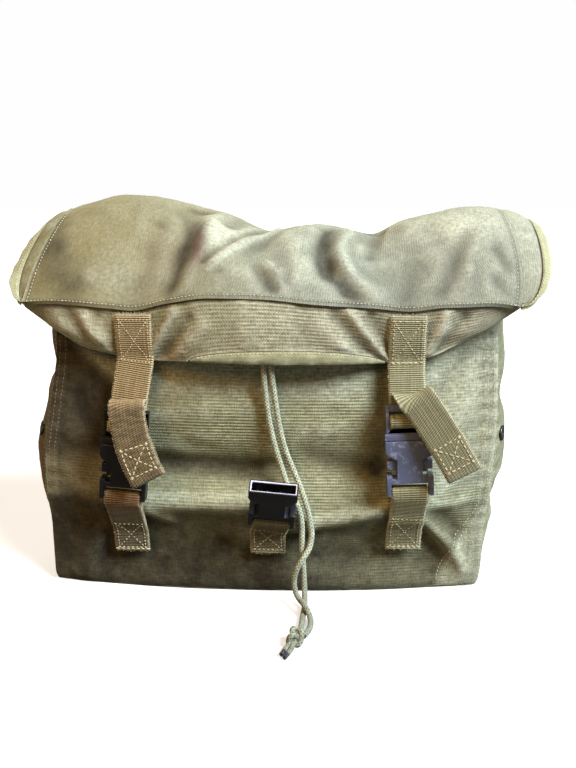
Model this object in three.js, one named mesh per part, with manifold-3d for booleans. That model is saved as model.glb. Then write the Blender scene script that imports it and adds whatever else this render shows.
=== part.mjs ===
// A military rucksack: a canvas bag with a domed lid, two closing straps with side-release buckles,
// a third buckle that is left open, a drawcord and two plain shoulder straps.
// Millimetres. From the front, +X is to the right, +Y runs to the back and +Z is up. The floor is z = 0.

import * as THREE from 'three';
import { mergeVertices } from 'three/addons/utils/BufferGeometryUtils.js';
import Module from 'manifold-3d';

const wasm = await Module();
wasm.setup();
const V = (x, y, z) => new THREE.Vector3(x, y, z);

// Driving dimensions
const CLOTH = 2.0; // canvas wall
const SEAM_GAP = 0.4; // between two sewn pieces
const FLOOR_GAP = 0.6; // between the bottom panel and the walls that stand on it
const WEB_WIDTH = 25;
const WEB_THICK = 1.8;
const DEPTH_SHIFT = -1.97; // centres the whole object's box on the origin, front to back
const SIDE_SHIFT = -6.65; // and left to right

// Body: horizontal sections from the floor up. half is the front's half width and y its seams' depth, bulge
// and side are how far the front and the sides stand out, and sway moves a section, because the bag leans.
const BODY_LEVELS = [
  { z: 0, sway: -5, half: 163, y: -58, bulge: 11, side: 2, backHalf: 165, backY: 60, backBulge: 3 },
  { z: 24, sway: -4, half: 164, y: -58, bulge: 15, side: 8, backHalf: 167, backY: 62, backBulge: 4 },
  { z: 48, sway: -4, half: 164, y: -58, bulge: 20, side: 15, backHalf: 168, backY: 63, backBulge: 5 },
  { z: 72, sway: -2, half: 165, y: -58, bulge: 25, side: 19, backHalf: 168, backY: 64, backBulge: 6 },
  { z: 102, sway: 0, half: 165, y: -57, bulge: 20, side: 22, backHalf: 168, backY: 64, backBulge: 6 },
  { z: 142, sway: 3, half: 163, y: -55, bulge: 24, side: 17, backHalf: 167, backY: 63, backBulge: 6 },
  { z: 184, sway: 4, half: 160, y: -53, bulge: 21, side: 15, backHalf: 165, backY: 62, backBulge: 5 },
  { z: 240, sway: 3, half: 158, y: -50, bulge: 15, side: 10, backHalf: 163, backY: 60, backBulge: 3 },
];
const MOUTH_Z = 226; // top edge of the front panel and the side gussets
const BACK_TOP_Z = 240; // the back panel runs up to the lid's seam
const BULGE_POWER = 2.4; // a panel is flat in the middle and turns in towards its seams

// Folds of the front panel: a ridge (+depth) or a crease (-depth) along a line, fading over its width.
const FRONT_FOLDS = [
  { x0: -92, z0: 72, x1: -12, z1: 74, width: 10, depth: 5 }, // sag roll, left of the centre buckle
  { x0: 18, z0: 58, x1: 84, z1: 66, width: 10, depth: 5 }, // sag roll, right of it
  { x0: -80, z0: 104, x1: 6, z1: 101, width: 15, depth: -4 }, // hollow above the left roll
  { x0: 116, z0: 62, x1: 146, z1: 14, width: 8, depth: 6 }, // overhang down to the right corner
  { x0: -134, z0: 44, x1: -150, z1: 10, width: 8, depth: 5 }, // overhang down to the left corner
  { x0: 60, z0: 28, x1: 118, z1: 22, width: 18, depth: -4 }, // tucked in under the right roll
  { x0: -112, z0: 26, x1: -40, z1: 30, width: 18, depth: -4 }, // tucked in under the left roll
  { x0: -136, z0: 190, x1: -110, z1: 168, width: 9, depth: 4 }, // pull towards the left strap
  { x0: 138, z0: 96, x1: 112, z1: 70, width: 9, depth: 4 }, // pull towards the right strap
];
// Folds of the side gussets: level creases (-depth) and rolls (+depth).
const SIDE_FOLDS = [
  { side: -1, z: 165, width: 13, depth: -7 },
  { side: -1, z: 48, width: 12, depth: -5 },
  { side: 1, z: 146, width: 13, depth: -5 },
  { side: 1, z: 190, width: 30, depth: -3 },
  { side: 1, z: 66, width: 12, depth: -9 },
  { side: 1, z: 110, width: 30, depth: -3 },
];

// Lid: the fold is the front edge of the top panel and the crest its highest line. Stations run across it.
const LID_HALF = 177;
const LID_SKEW = 8; // the crest sits to the right of the fold,
const LID_NARROW = 10; // and is narrower at each end
const LID_FOLD = [
  { x: -177, y: -72, z: 226 },
  { x: -150, y: -77, z: 225 },
  { x: -112, y: -81, z: 221.5 },
  { x: -95, y: -81, z: 220 },
  { x: -70, y: -84, z: 225.5 },
  { x: -40, y: -87, z: 230 },
  { x: -6, y: -87, z: 229.5 },
  { x: 32, y: -87, z: 226 },
  { x: 73, y: -84, z: 223 },
  { x: 97, y: -81, z: 220.5 },
  { x: 120, y: -81, z: 223 },
  { x: 152, y: -77, z: 225 },
  { x: 177, y: -72, z: 223 },
];
const LID_CREST = [
  { x: -160, z: 278 },
  { x: -140, z: 285.5 },
  { x: -108, z: 292 },
  { x: -65, z: 286.5 },
  { x: -20, z: 273.5 },
  { x: -2, z: 266 },
  { x: 35, z: 270.5 },
  { x: 76, z: 264.5 },
  { x: 100, z: 274.5 },
  { x: 155, z: 284 },
  { x: 180, z: 279 },
];
const CREST_Y = -8;
const LID_BACK_Z = BACK_TOP_Z + 2.2;
const DOME_POWER = 1.5; // 1 is an elliptic dome and 2 a parabolic one
// Folds of the lid's top: valleys (-depth) and ridges (+depth) in plan.
const LID_FOLDS = [
  { x0: -52, y0: -10, x1: -74, y1: -66, width: 11, depth: -5 },
  { x0: -30, y0: -30, x1: -12, y1: 10, width: 10, depth: -4 },
  { x0: 30, y0: -64, x1: 62, y1: -30, width: 9, depth: -4 },
  { x0: 76, y0: 6, x1: 70, y1: -34, width: 9, depth: -3 },
  { x0: 132, y0: -70, x1: 112, y1: -34, width: 9, depth: -3 },
];

// Lid front flap: its lower edge, which the straps pull in and the middle stands away from.
const FLAP_STATIONS = [
  { x: -177, hemY: -67, hemZ: 219 },
  { x: -151, hemY: -69, hemZ: 205 },
  { x: -133, hemY: -72, hemZ: 194 },
  { x: -112, hemY: -76, hemZ: 185 },
  { x: -96, hemY: -77, hemZ: 182 },
  { x: -82, hemY: -78, hemZ: 181 },
  { x: -50, hemY: -91, hemZ: 183 },
  { x: 0, hemY: -97, hemZ: 183 },
  { x: 50, hemY: -93, hemZ: 182.5 },
  { x: 82, hemY: -78, hemZ: 180 },
  { x: 96, hemY: -77, hemZ: 181 },
  { x: 112, hemY: -76, hemZ: 184 },
  { x: 133, hemY: -72, hemZ: 193 },
  { x: 151, hemY: -69, hemZ: 202 },
  { x: 177, hemY: -67, hemZ: 219 },
];
const HEM_HALF = 80; // the bound hem runs between the straps
const HEM_HEIGHT = 9.5;
const HEM_THICK = 2.6;
const FLAP_BELLY = 4; // the flap swells forward between fold and hem

// Lid ends: a short gusset flares out and down from each end of the top panel, with a bound edge.
const LID_ENDS = [
  { name: 'left', side: -1, out: 17, down: 11, bindingOut: 9, bindingDown: 8 },
  { name: 'right', side: 1, out: 18, down: 8, bindingOut: 9, bindingDown: 6 },
];
const END_BINDING_THICK = 2.6;

// Side-release buckle for 25 mm webbing. Heights run up from the female half's lower edge.
const BUCKLE = {
  half: 16.5, thick: 11, wall: 1.8, femaleLong: 41,
  baseTop: 13, earTop: 15, earWide: 4, waistHalf: 9, mouthFrom: 30, mouthHalf: 17,
  barTall: 3.6, slotTop: 9.6, slotHalf: 13.4, pocketFloor: 15, ribX: 4.2, ribThick: 1.2, ribTop: 32,
  maleLong: 25, maleHalf: 15.8, maleThick: 5, shoulderTall: 5, slotTall: 6.4, crossBar: 2.6,
  armIn: 8.6, armOut: 12.6, armLow: 17.4, padOut: 16, padLow: 19.5, padHigh: 26.2, plugThick: 5.6,
};
const FIT_GAP = 0.4;
const SEWN_GAP = 0.5; // between webbing and the cloth that it is sewn to

// Closing straps, left and right: where the buckle hangs, its lean sideways, and how its free tail falls.
const CLOSURES = [
  { name: 'left', strapX: -93.7, buckleX: -105, buckleY: -90.5, buckleZ: 82, leanDeg: 5,
    sewnX: -106, sewnZ: 33, tailDeg: -20, tailOut: 10, tailLong: 53 },
  { name: 'right', strapX: 96.5, buckleX: 101, buckleY: -90.5, buckleZ: 88, leanDeg: -3,
    sewnX: 97, sewnZ: 38, tailDeg: -32, tailOut: 8, tailLong: 56 },
];
const STRAP_TOP_Z = 217; // upper end, sewn just under the lid's fold
const TAIL_HEM = 26; // the tail's end is folded back on itself and sewn
const CENTRE_BUCKLE = { x: 2.2, y: -93.5, z: 67, leanDeg: 5, tiltDeg: 33, sewnX: -1, sewnZ: 36 };

// Eyelets: one in each side gusset, and one for the drawcord under the lid.
const EYELET = { hole: 2.75, barrel: 3.6, flange: 6, flangeThick: 0.8 };
const SIDE_EYELET = { t: 0.14, z: 118 };
const CORD_EYELET = { hole: 5.6, barrel: 6.5, flange: 9.5, flangeThick: 0.8 };
const EYELET_GAP = 0.9; // the cloth curves under a flange
const CORD_EYELET_X = -1;
const CORD_EYELET_Z = 207;

// Drawcord: two strands of braided cord that end in one knot on the floor before the bag.
const CORD_DIAMETER = 4.8;
const CORD_SIDES = 10;
const CORD_STEP = 11;
const LEFT_STRAND = [
  [-3.7, -72.8, 207], [-3.7, -77, 206.8], [-3.7, -81.5, 205], [-3.6, -85, 201], [-3.4, -86.8, 195.5],
  [-3.2, -87.6, 188], [-2.9, -88, 177], [-1.9, -86.2, 160], [0.4, -84.8, 141], [4.4, -84.2, 121],
  [9.4, -84.4, 104], [15, -87.4, 88], [21.8, -90.6, 75.6], [24, -91.6, 65], [24.2, -91.8, 56],
  [24.2, -92, 46], [25, -92, 34], [25.7, -92.6, 23], [26.3, -94, 13], [26.6, -98, 6],
  [26.4, -104, 3], [25.6, -112, 2.7], [25, -123.6, 2.7], [24.2, -132, 2.8], [22.9, -136.6, 3.1],
  [21.6, -140.2, 3.4],
];
const RIGHT_STRAND = [
  [1.7, -72.8, 207], [1.7, -77, 206.8], [1.8, -81.5, 205], [1.9, -85, 201], [2, -86.8, 195.5],
  [2.2, -87.6, 188], [2.5, -88, 177], [4.6, -86.2, 157], [7.8, -84.8, 135], [11.8, -84.2, 118],
  [16.6, -85, 105.6], [22, -87.6, 93], [27, -90.6, 79], [30, -91.6, 66], [31.2, -92.6, 55.6],
  [29.6, -95, 47], [25.6, -97.8, 40.6], [21.2, -97.8, 32.6], [18.9, -96.4, 24], [18.9, -96, 16.6],
  [20.4, -97, 11], [22.6, -101, 9.2], [25.6, -107.5, 9], [28.6, -113, 7], [30.8, -118, 3.6],
  [31.2, -124, 2.7], [30.4, -131, 2.7], [28.8, -136.6, 3], [26.4, -142.3, 3.4],
];
const KNOT = { x: 21, y: -148, z: 6.2, turnDeg: 66, long: 14, wide: 12, tall: 11.8 };
const TIP = { long: 14, wide: 7.6, tall: 6.4 };

// Shoulder straps, hidden behind the bag and plain: side profile of the right one, mirrored for the left.
const SHOULDER_WIDTH = 38;
const SHOULDER_THICK = 2.4;
const SHOULDER_ROUTE = [
  { x: 58, y: 66.2, z: 214 }, { x: 58, y: 67.2, z: 226 }, { x: 58.6, y: 71.5, z: 234.5 },
  { x: 59.6, y: 80, z: 236 }, { x: 61, y: 89, z: 230 }, { x: 64, y: 98, z: 214 },
  { x: 70, y: 108, z: 182 }, { x: 78, y: 117, z: 142 }, { x: 86, y: 122, z: 100 },
  { x: 93, y: 123, z: 62 }, { x: 98, y: 118, z: 30 }, { x: 101, y: 107, z: 12 },
  { x: 103.5, y: 95, z: 6.5 }, { x: 105, y: 83, z: 7.5 }, { x: 106, y: 73.5, z: 13 },
  { x: 106.6, y: 69.6, z: 22 }, { x: 107, y: 70, z: 34 }, { x: 107, y: 70.4, z: 44 },
];

const CANVAS = { color: 0x77754f, roughness: 0.92 };
const CANVAS_LIGHT = { color: 0xa8a56c, roughness: 0.92 };
const WEBBING = { color: 0x8a7b4c, roughness: 0.85 };
const PLASTIC = { color: 0x17161a, roughness: 0.42 };
const BLACKED_BRASS = { color: 0x3a3934, roughness: 0.45, metalness: 0.8 };
const CORD = { color: 0x84864f, roughness: 0.95 };
const SEALED_END = { color: 0x5b5a55, roughness: 0.4 };

// Value of a table's column at any position, on a smooth curve that never overshoots its rows.
function column(rows, key, name) {
  const at = rows.map((row) => row[key]);
  const value = rows.map((row) => row[name]);
  const last = rows.length - 1;
  const slope = (i) => (value[i + 1] - value[i]) / (at[i + 1] - at[i]);
  const tangent = rows.map((_, i) => {
    if (i === 0) return slope(0);
    if (i === last) return slope(last - 1);
    const before = slope(i - 1);
    const after = slope(i);
    return before * after <= 0 ? 0 : (2 * before * after) / (before + after);
  });
  return (position) => {
    const p = Math.min(Math.max(position, at[0]), at[last]);
    let i = 0;
    while (i < last - 1 && p > at[i + 1]) i += 1;
    const span = at[i + 1] - at[i];
    const t = (p - at[i]) / span;
    const rise = t * t * (3 - 2 * t);
    return value[i] * (1 - rise) + value[i + 1] * rise
      + span * t * (1 - t) * ((1 - t) * tangent[i] - t * tangent[i + 1]);
  };
}

// All columns of a table as functions of its key.
function columns(rows, key) {
  const names = Object.keys(rows[0]).filter((name) => name !== key);
  return Object.fromEntries(names.map((name) => [name, column(rows, key, name)]));
}

// How far the folds in a table lift the point (a, b). Each fold is a line that fades with distance.
function foldLift(folds, a, b, second) {
  let lift = 0;
  for (const fold of folds) {
    const da = fold.x1 - fold.x0;
    const db = fold[second + '1'] - fold[second + '0'];
    const along = ((a - fold.x0) * da + (b - fold[second + '0']) * db) / (da * da + db * db);
    const t = Math.min(Math.max(along, 0), 1);
    const away = Math.hypot(a - fold.x0 - t * da, b - fold[second + '0'] - t * db);
    lift += fold.depth * Math.exp(-((away / fold.width) ** 2));
  }
  return lift;
}

const body = columns(BODY_LEVELS, 'z');
const fold = columns(LID_FOLD, 'x');
const crestZ = column(LID_CREST, 'x', 'z');
const flap = columns(FLAP_STATIONS, 'x');

// Outer surface of the front panel. s runs from the left seam, -1, to the right one, 1.
function frontPoint(s, z) {
  const x = body.half(z) * s + body.sway(z);
  const swell = body.bulge(z) * (1 - Math.abs(s) ** BULGE_POWER);
  const lift = foldLift(FRONT_FOLDS, x, z, 'z') * (1 - s ** 8);
  return V(x, body.y(z) - swell - lift, z);
}
const clampUnit = (s) => Math.min(Math.max(s, -1), 1);
const frontS = (x, z) => clampUnit((x - body.sway(z)) / body.half(z));
const frontY = (x, z) => frontPoint(frontS(x, z), z).y;

// Outer surface of a side gusset. t runs from its front seam, 0, to its back seam, 1.
function sidePoint(side, t, z) {
  const arch = Math.sin(Math.PI * t) ** 0.9;
  const lift = SIDE_FOLDS.filter((row) => row.side === side)
    .reduce((sum, row) => sum + row.depth * Math.exp(-(((z - row.z) / row.width) ** 2)), 0);
  const straight = body.half(z) * (1 - t) + body.backHalf(z) * t;
  const x = side * (straight + (body.side(z) + lift) * arch) + body.sway(z);
  return V(x, body.y(z) * (1 - t) + body.backY(z) * t, z);
}

// Outer surface of the back panel. s runs from the left seam, -1, to the right one, 1.
function backPoint(s, z) {
  return V(body.backHalf(z) * s + body.sway(z), body.backY(z) + body.backBulge(z) * (1 - s * s), z);
}

// Outer surface of the lid's top panel. v runs from the fold at the front, 0, to the seam at the back, 1.
function lidPoint(across, v) {
  const angle = v * Math.PI;
  const rise = Math.sin(angle);
  const x = across + rise * (LID_SKEW - LID_NARROW * across / LID_HALF);
  const backY = backPoint(clampUnit((x - body.sway(BACK_TOP_Z)) / body.backHalf(BACK_TOP_Z)), BACK_TOP_Z).y;
  const front = angle <= Math.PI / 2;
  const span = front ? CREST_Y - fold.y(across) : backY - CREST_Y;
  const foot = front ? fold.z(across) : LID_BACK_Z;
  const y = CREST_Y - span * Math.cos(angle);
  const dome = rise ** DOME_POWER;
  return V(x, y, foot + (crestZ(x) - foot) * dome + foldLift(LID_FOLDS, x, y, 'y') * dome);
}

// Outer surface of the lid's front flap. v runs from its lower edge, 0, to the fold, 1.
const hemRise = (x) => HEM_HEIGHT * Math.sqrt(Math.max(0, 1 - (x / HEM_HALF) ** 2));
function flapPoint(x, v) {
  const low = flap.hemZ(x) + hemRise(x);
  const high = fold.z(x);
  const z = low + (high - low) * v;
  const drop = (high - z) / (high - flap.hemZ(x));
  const belly = FLAP_BELLY * Math.sin(Math.PI * drop) * (1 - (x / LID_HALF) ** 2);
  return V(x, fold.y(x) + (flap.hemY(x) - fold.y(x)) * drop - belly, z);
}

// Lid end gusset: across runs from the seam, 0, to the outer edge, 1, and on to 2 at the edge of its binding.
function lidEndPoint(end, v, across) {
  const point = lidPoint(end.side * LID_HALF, v);
  const flare = Math.sin(Math.PI * v) ** 0.6;
  const cloth = Math.min(across, 1);
  const binding = Math.max(across - 1, 0);
  point.x += end.side * flare * (end.out * cloth + end.bindingOut * binding);
  point.z -= flare * (end.down * cloth * cloth + end.bindingDown * binding);
  return point;
}

// Unit normals of a grid of points, from the neighbours that each point has. Its corners may be missing.
function gridNormals(grid, wraps) {
  return grid.map((row, r) => row.map((point, c) => {
    if (!point) return undefined;
    const size = row.length;
    const beside = (step) => (wraps ? row[(c + step + size) % size] : row[c + step]) ?? point;
    const above = (grid[r + 1] && grid[r + 1][c]) ?? point;
    const below = (grid[r - 1] && grid[r - 1][c]) ?? point;
    return beside(1).clone().sub(beside(-1)).cross(above.clone().sub(below)).normalize();
  }));
}

// A closed wall from a grid of outer points and its normals, pulled in by half the gap at the edges named.
function wall(outer, normals, thick, pulls = {}) {
  const rows = outer.length;
  const cols = outer[0].length;
  const pulled = outer.map((row) => row.map((point) => point.clone()));
  const pull = (r, c, toR, toC) => {
    const step = outer[toR][toC].clone().sub(outer[r][c]).setLength(pulls.gap / 2);
    pulled[r][c].add(step);
  };
  for (let r = 0; r < rows; r += 1) {
    if (pulls.first) pull(r, 0, r, 1);
    if (pulls.last) pull(r, cols - 1, r, cols - 2);
  }
  for (let c = 0; c < cols; c += 1) {
    if (pulls.low) pull(0, c, 1, c);
    if (pulls.high) pull(rows - 1, c, rows - 2, c);
  }
  const inner = pulled.map((row, r) => row.map(
    (point, c) => point.clone().addScaledVector(normals[r][c], -thick),
  ));
  const vertices = [...pulled.flat(), ...inner.flat()];
  const outerAt = (r, c) => r * cols + c;
  const innerAt = (r, c) => rows * cols + r * cols + c;
  const index = [];
  const quad = (a, b, c, d) => index.push(a, b, c, a, c, d);
  for (let r = 0; r < rows - 1; r += 1) {
    for (let c = 0; c < cols - 1; c += 1) {
      quad(outerAt(r, c), outerAt(r, c + 1), outerAt(r + 1, c + 1), outerAt(r + 1, c));
      quad(innerAt(r, c), innerAt(r + 1, c), innerAt(r + 1, c + 1), innerAt(r, c + 1));
    }
    quad(outerAt(r, 0), outerAt(r + 1, 0), innerAt(r + 1, 0), innerAt(r, 0));
    quad(outerAt(r, cols - 1), innerAt(r, cols - 1), innerAt(r + 1, cols - 1), outerAt(r + 1, cols - 1));
  }
  for (let c = 0; c < cols - 1; c += 1) {
    quad(outerAt(0, c), innerAt(0, c), innerAt(0, c + 1), outerAt(0, c + 1));
    quad(outerAt(rows - 1, c), outerAt(rows - 1, c + 1), innerAt(rows - 1, c + 1), innerAt(rows - 1, c));
  }
  return new THREE.BufferGeometry().setFromPoints(vertices).setIndex(index);
}

const steps = (count) => Array.from({ length: count + 1 }, (_, i) => i / count);
const slice = (grid, r0, r1, c0, c1) => grid.slice(r0, r1 + 1).map((row) => row.slice(c0, c1 + 1));

// A closed geometry as a solid for cutting and joining, and back.
function solid(geometry) {
  const bare = new THREE.BufferGeometry().setAttribute('position', geometry.getAttribute('position'));
  if (geometry.index) bare.setIndex(geometry.index);
  const merged = mergeVertices(bare, 1e-4);
  return new wasm.Manifold(new wasm.Mesh({
    numProp: 3,
    vertProperties: new Float32Array(merged.attributes.position.array),
    triVerts: new Uint32Array(merged.index.array),
  }));
}
function geometryOf(made) {
  const mesh = made.getMesh();
  return new THREE.BufferGeometry()
    .setAttribute('position', new THREE.BufferAttribute(mesh.vertProperties, 3))
    .setIndex(new THREE.BufferAttribute(mesh.triVerts, 1));
}

function piece(name, geometry, finish) {
  const mesh = new THREE.Mesh(geometry, new THREE.MeshStandardMaterial(finish));
  mesh.name = name;
  return mesh;
}

// A box between two corners.
function block(x0, y0, z0, x1, y1, z1) {
  return new THREE.BoxGeometry(x1 - x0, y1 - y0, z1 - z0)
    .translate((x0 + x1) / 2, (y0 + y1) / 2, (z0 + z1) / 2);
}

// Flat webbing along stations that each have a centre and the direction of the width.
function ribbon(stations, width, thick) {
  const outer = [[], []];
  const normals = [[], []];
  const last = stations.length - 1;
  stations.forEach(({ at, across }, i) => {
    const ahead = stations[Math.min(i + 1, last)].at.clone().sub(stations[Math.max(i - 1, 0)].at).normalize();
    const face = ahead.clone().cross(across).normalize();
    const side = face.clone().cross(ahead);
    [-0.5, 0.5].forEach((half, r) => {
      const edge = at.clone().addScaledVector(side, half * width);
      outer[r].push(edge.addScaledVector(face, thick / 2));
      normals[r].push(face);
    });
  });
  return wall(outer, normals, thick);
}

// Body

const FRONT_COLS = 28;
const SIDE_COLS = 8;
const BACK_COLS = 12;
const WALL_ROWS = 22;

// The four walls share one ring of points, so that neighbours meet in a mitre at each corner seam.
function bodyRing(z) {
  const ring = [];
  steps(FRONT_COLS).slice(0, -1).forEach((f) => ring.push(frontPoint(2 * f - 1, z)));
  steps(SIDE_COLS).slice(0, -1).forEach((f) => ring.push(sidePoint(1, f, z)));
  steps(BACK_COLS).slice(0, -1).forEach((f) => ring.push(backPoint(1 - 2 * f, z)));
  steps(SIDE_COLS).slice(0, -1).forEach((f) => ring.push(sidePoint(-1, 1 - f, z)));
  return ring;
}

// An eyelet's hole through a wall at a point of its outer surface.
function pierce(geometry, at, normal, radius) {
  const drill = new THREE.CylinderGeometry(radius, radius, 6 * CLOTH, 14);
  drill.applyQuaternion(new THREE.Quaternion().setFromUnitVectors(V(0, 1, 0), normal));
  drill.translate(at.x, at.y, at.z);
  return geometryOf(solid(geometry).subtract(solid(drill)));
}

// A rolled eyelet that grips the cloth between two flanges, centred in the wall.
function eyelet(size, at, normal) {
  const half = CLOTH / 2 + EYELET_GAP + size.flangeThick;
  const seat = half - size.flangeThick;
  const profile = [
    [size.hole, -half], [size.flange, -half], [size.flange, -seat], [size.barrel, -seat],
    [size.barrel, seat], [size.flange, seat], [size.flange, half], [size.hole, half], [size.hole, -half],
  ].map(([r, h]) => new THREE.Vector2(r, h));
  const made = new THREE.LatheGeometry(profile, 14);
  made.applyQuaternion(new THREE.Quaternion().setFromUnitVectors(V(0, 1, 0), normal));
  const middle = at.clone().addScaledVector(normal, -CLOTH / 2);
  return made.translate(middle.x, middle.y, middle.z);
}

function surfaceNormal(surface, a, b, da, db) {
  const across = surface(a + da, b).sub(surface(a - da, b));
  return across.cross(surface(a, b + db).sub(surface(a, b - db))).normalize();
}

function bodyPieces() {
  const low = CLOTH + FLOOR_GAP;
  const heights = steps(WALL_ROWS).map((f) => low + (MOUTH_Z - low) * f);
  heights.push(BACK_TOP_Z);
  const outer = heights.map(bodyRing);
  const normals = gridNormals(outer, true);
  const close = (grid) => grid.map((row) => [...row, row[0]]);
  const ringOuter = close(outer);
  const ringNormals = close(normals);
  const panel = (firstCol, count, topRow) => wall(
    slice(ringOuter, 0, topRow, firstCol, firstCol + count),
    slice(ringNormals, 0, topRow, firstCol, firstCol + count),
    CLOTH,
    { gap: SEAM_GAP, first: true, last: true },
  );
  const rightCol = FRONT_COLS;
  const backCol = rightCol + SIDE_COLS;
  const leftCol = backCol + BACK_COLS;

  const cordS = frontS(CORD_EYELET_X, CORD_EYELET_Z);
  const cordAt = frontPoint(cordS, CORD_EYELET_Z);
  const cordOut = surfaceNormal(frontPoint, cordS, CORD_EYELET_Z, 0.05, 5);
  const front = pierce(panel(0, FRONT_COLS, WALL_ROWS), cordAt, cordOut, CORD_EYELET.barrel + FIT_GAP);
  const made = [
    piece('front_panel', front, CANVAS),
    piece('back_panel', panel(backCol, BACK_COLS, WALL_ROWS + 1), CANVAS),
    piece('drawcord_eyelet', eyelet(CORD_EYELET, cordAt, cordOut), BLACKED_BRASS),
  ];
  for (const [side, name, firstCol] of [[1, 'right', rightCol], [-1, 'left', leftCol]]) {
    const at = sidePoint(side, SIDE_EYELET.t, SIDE_EYELET.z);
    const out = surfaceNormal((t, z) => sidePoint(side, t, z), SIDE_EYELET.t, SIDE_EYELET.z, 0.05, 5)
      .multiplyScalar(side);
    const gusset = pierce(panel(firstCol, SIDE_COLS, WALL_ROWS), at, out, EYELET.barrel + FIT_GAP);
    made.push(piece('side_gusset_' + name, gusset, CANVAS));
    made.push(piece('side_eyelet_' + name, eyelet(EYELET, at, out), BLACKED_BRASS));
  }
  const outline = new THREE.Shape(bodyRing(0).map((point) => new THREE.Vector2(point.x, point.y)));
  const bottom = new THREE.ExtrudeGeometry(outline, { depth: CLOTH, bevelEnabled: false });
  return [...made, piece('bottom_panel', bottom, CANVAS)];
}

// Lid

const LID_COLS = 30;
const LID_ROWS = 12;
const FLAP_ROWS = 5;
const END_COLS = 2;

function lidPieces() {
  const xs = steps(LID_COLS).map((f) => LID_HALF * (2 * f - 1));
  const [leftEnd, rightEnd] = LID_ENDS;
  const bare = Array.from({ length: END_COLS });
  const ends = steps(END_COLS).slice(1);
  const flapRows = steps(FLAP_ROWS).slice(0, -1)
    .map((v) => [...bare, ...xs.map((x) => flapPoint(x, v)), ...bare]);
  const topRows = steps(LID_ROWS).map((v) => {
    const open = v > 0 && v < 1;
    return [
      ...(open ? ends.map((a) => lidEndPoint(leftEnd, v, a)).reverse() : bare),
      ...xs.map((x) => lidPoint(x, v)),
      ...(open ? ends.map((a) => lidEndPoint(rightEnd, v, a)) : bare),
    ];
  });
  const grid = [...flapRows, ...topRows];
  const normals = gridNormals(grid, false);
  const cut = (r0, r1, c0, c1, pulls) => wall(
    slice(grid, r0, r1, c0, c1), slice(normals, r0, r1, c0, c1), CLOTH, { gap: SEAM_GAP, ...pulls },
  );
  const foldRow = FLAP_ROWS;
  const backRow = foldRow + LID_ROWS;
  const firstX = END_COLS;
  const lastX = END_COLS + LID_COLS;
  const seams = { first: true, last: true, gap: 2 * SEAM_GAP };
  return [
    piece('lid_top', cut(foldRow, backRow, firstX, lastX, { ...seams, low: true }), CANVAS),
    piece('lid_front_flap', cut(0, foldRow, firstX, lastX, { low: true, high: true }), CANVAS),
    piece('lid_end_left', cut(foldRow + 1, backRow - 1, 0, firstX, seams), CANVAS),
    piece('lid_end_right', cut(foldRow + 1, backRow - 1, lastX, lastX + END_COLS, seams), CANVAS),
    ...LID_ENDS.map((end) => piece('lid_end_binding_' + end.name, endBinding(end), CANVAS_LIGHT)),
    piece('lid_hem_binding', hemBinding(), CANVAS_LIGHT),
  ];
}

// Tape that binds the outer edge of a lid end.
function endBinding(end) {
  const vs = steps(LID_ROWS).slice(1, -1);
  const right = end.side > 0;
  const grid = vs.map((v) => (right ? [1, 2] : [2, 1]).map((across) => lidEndPoint(end, v, across)));
  const pulls = { gap: SEAM_GAP, first: right, last: !right };
  return wall(grid, gridNormals(grid, false), END_BINDING_THICK, pulls);
}

// Tape that binds the flap's lower edge between the straps: widest in the middle.
function hemBinding() {
  const reach = 0.97 * HEM_HALF;
  const xs = steps(16).map((f) => reach * (2 * f - 1));
  const grid = [0, 1].map((v) => xs.map((x) => {
    const edge = flapPoint(x, 0);
    const swell = (HEM_THICK - CLOTH) / 2;
    return V(x, edge.y + (flap.hemY(x) - edge.y) * (1 - v) - swell, edge.z - hemRise(x) * (1 - v));
  }));
  return wall(grid, gridNormals(grid, false), HEM_THICK, { gap: SEAM_GAP, high: true });
}

// Buckles

// Female half: a flat sleeve, open at the top, with side windows and a bar for its webbing.
function femaleHalf() {
  const b = BUCKLE;
  const y = b.thick / 2;
  const right = [
    [b.half, 0], [b.half, b.earTop], [b.half - b.earWide, b.earTop], [b.half - b.earWide, b.baseTop],
    [b.waistHalf, b.baseTop], [b.waistHalf, b.mouthFrom - 3], [b.mouthHalf - 1.5, b.mouthFrom],
    [b.mouthHalf, b.mouthFrom + 3], [b.mouthHalf, b.femaleLong],
  ];
  const left = right.map(([x, z]) => [-x, z]).reverse();
  const outline = new THREE.Shape([...right, ...left].map(([x, z]) => new THREE.Vector2(x, z)));
  const plate = new THREE.ExtrudeGeometry(outline, { depth: b.thick, bevelEnabled: false });
  plate.rotateX(Math.PI / 2).translate(0, y, 0);
  const pocketHalf = b.mouthHalf - b.wall;
  const pocketY = y - b.wall;
  const pocket = block(-pocketHalf, -pocketY, b.pocketFloor, pocketHalf, pocketY, b.femaleLong + 1);
  const slot = block(-b.slotHalf, -y - 1, b.barTall, b.slotHalf, y + 1, b.slotTop);
  const barFront = block(-b.slotHalf, -y - 1, -1, b.slotHalf, -2, b.barTall + 0.5);
  const barBack = block(-b.slotHalf, 2, -1, b.slotHalf, y + 1, b.barTall + 0.5);
  const cuts = [pocket, slot, barFront, barBack];
  let made = cuts.reduce((rest, cut) => rest.subtract(solid(cut)), solid(plate));
  for (const x of [-b.ribX, b.ribX]) {
    const rib = block(x - b.ribThick / 2, 0.5 - y, b.pocketFloor - 1, x + b.ribThick / 2, y - 0.5, b.ribTop);
    made = made.add(solid(rib));
  }
  return geometryOf(made);
}

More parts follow.
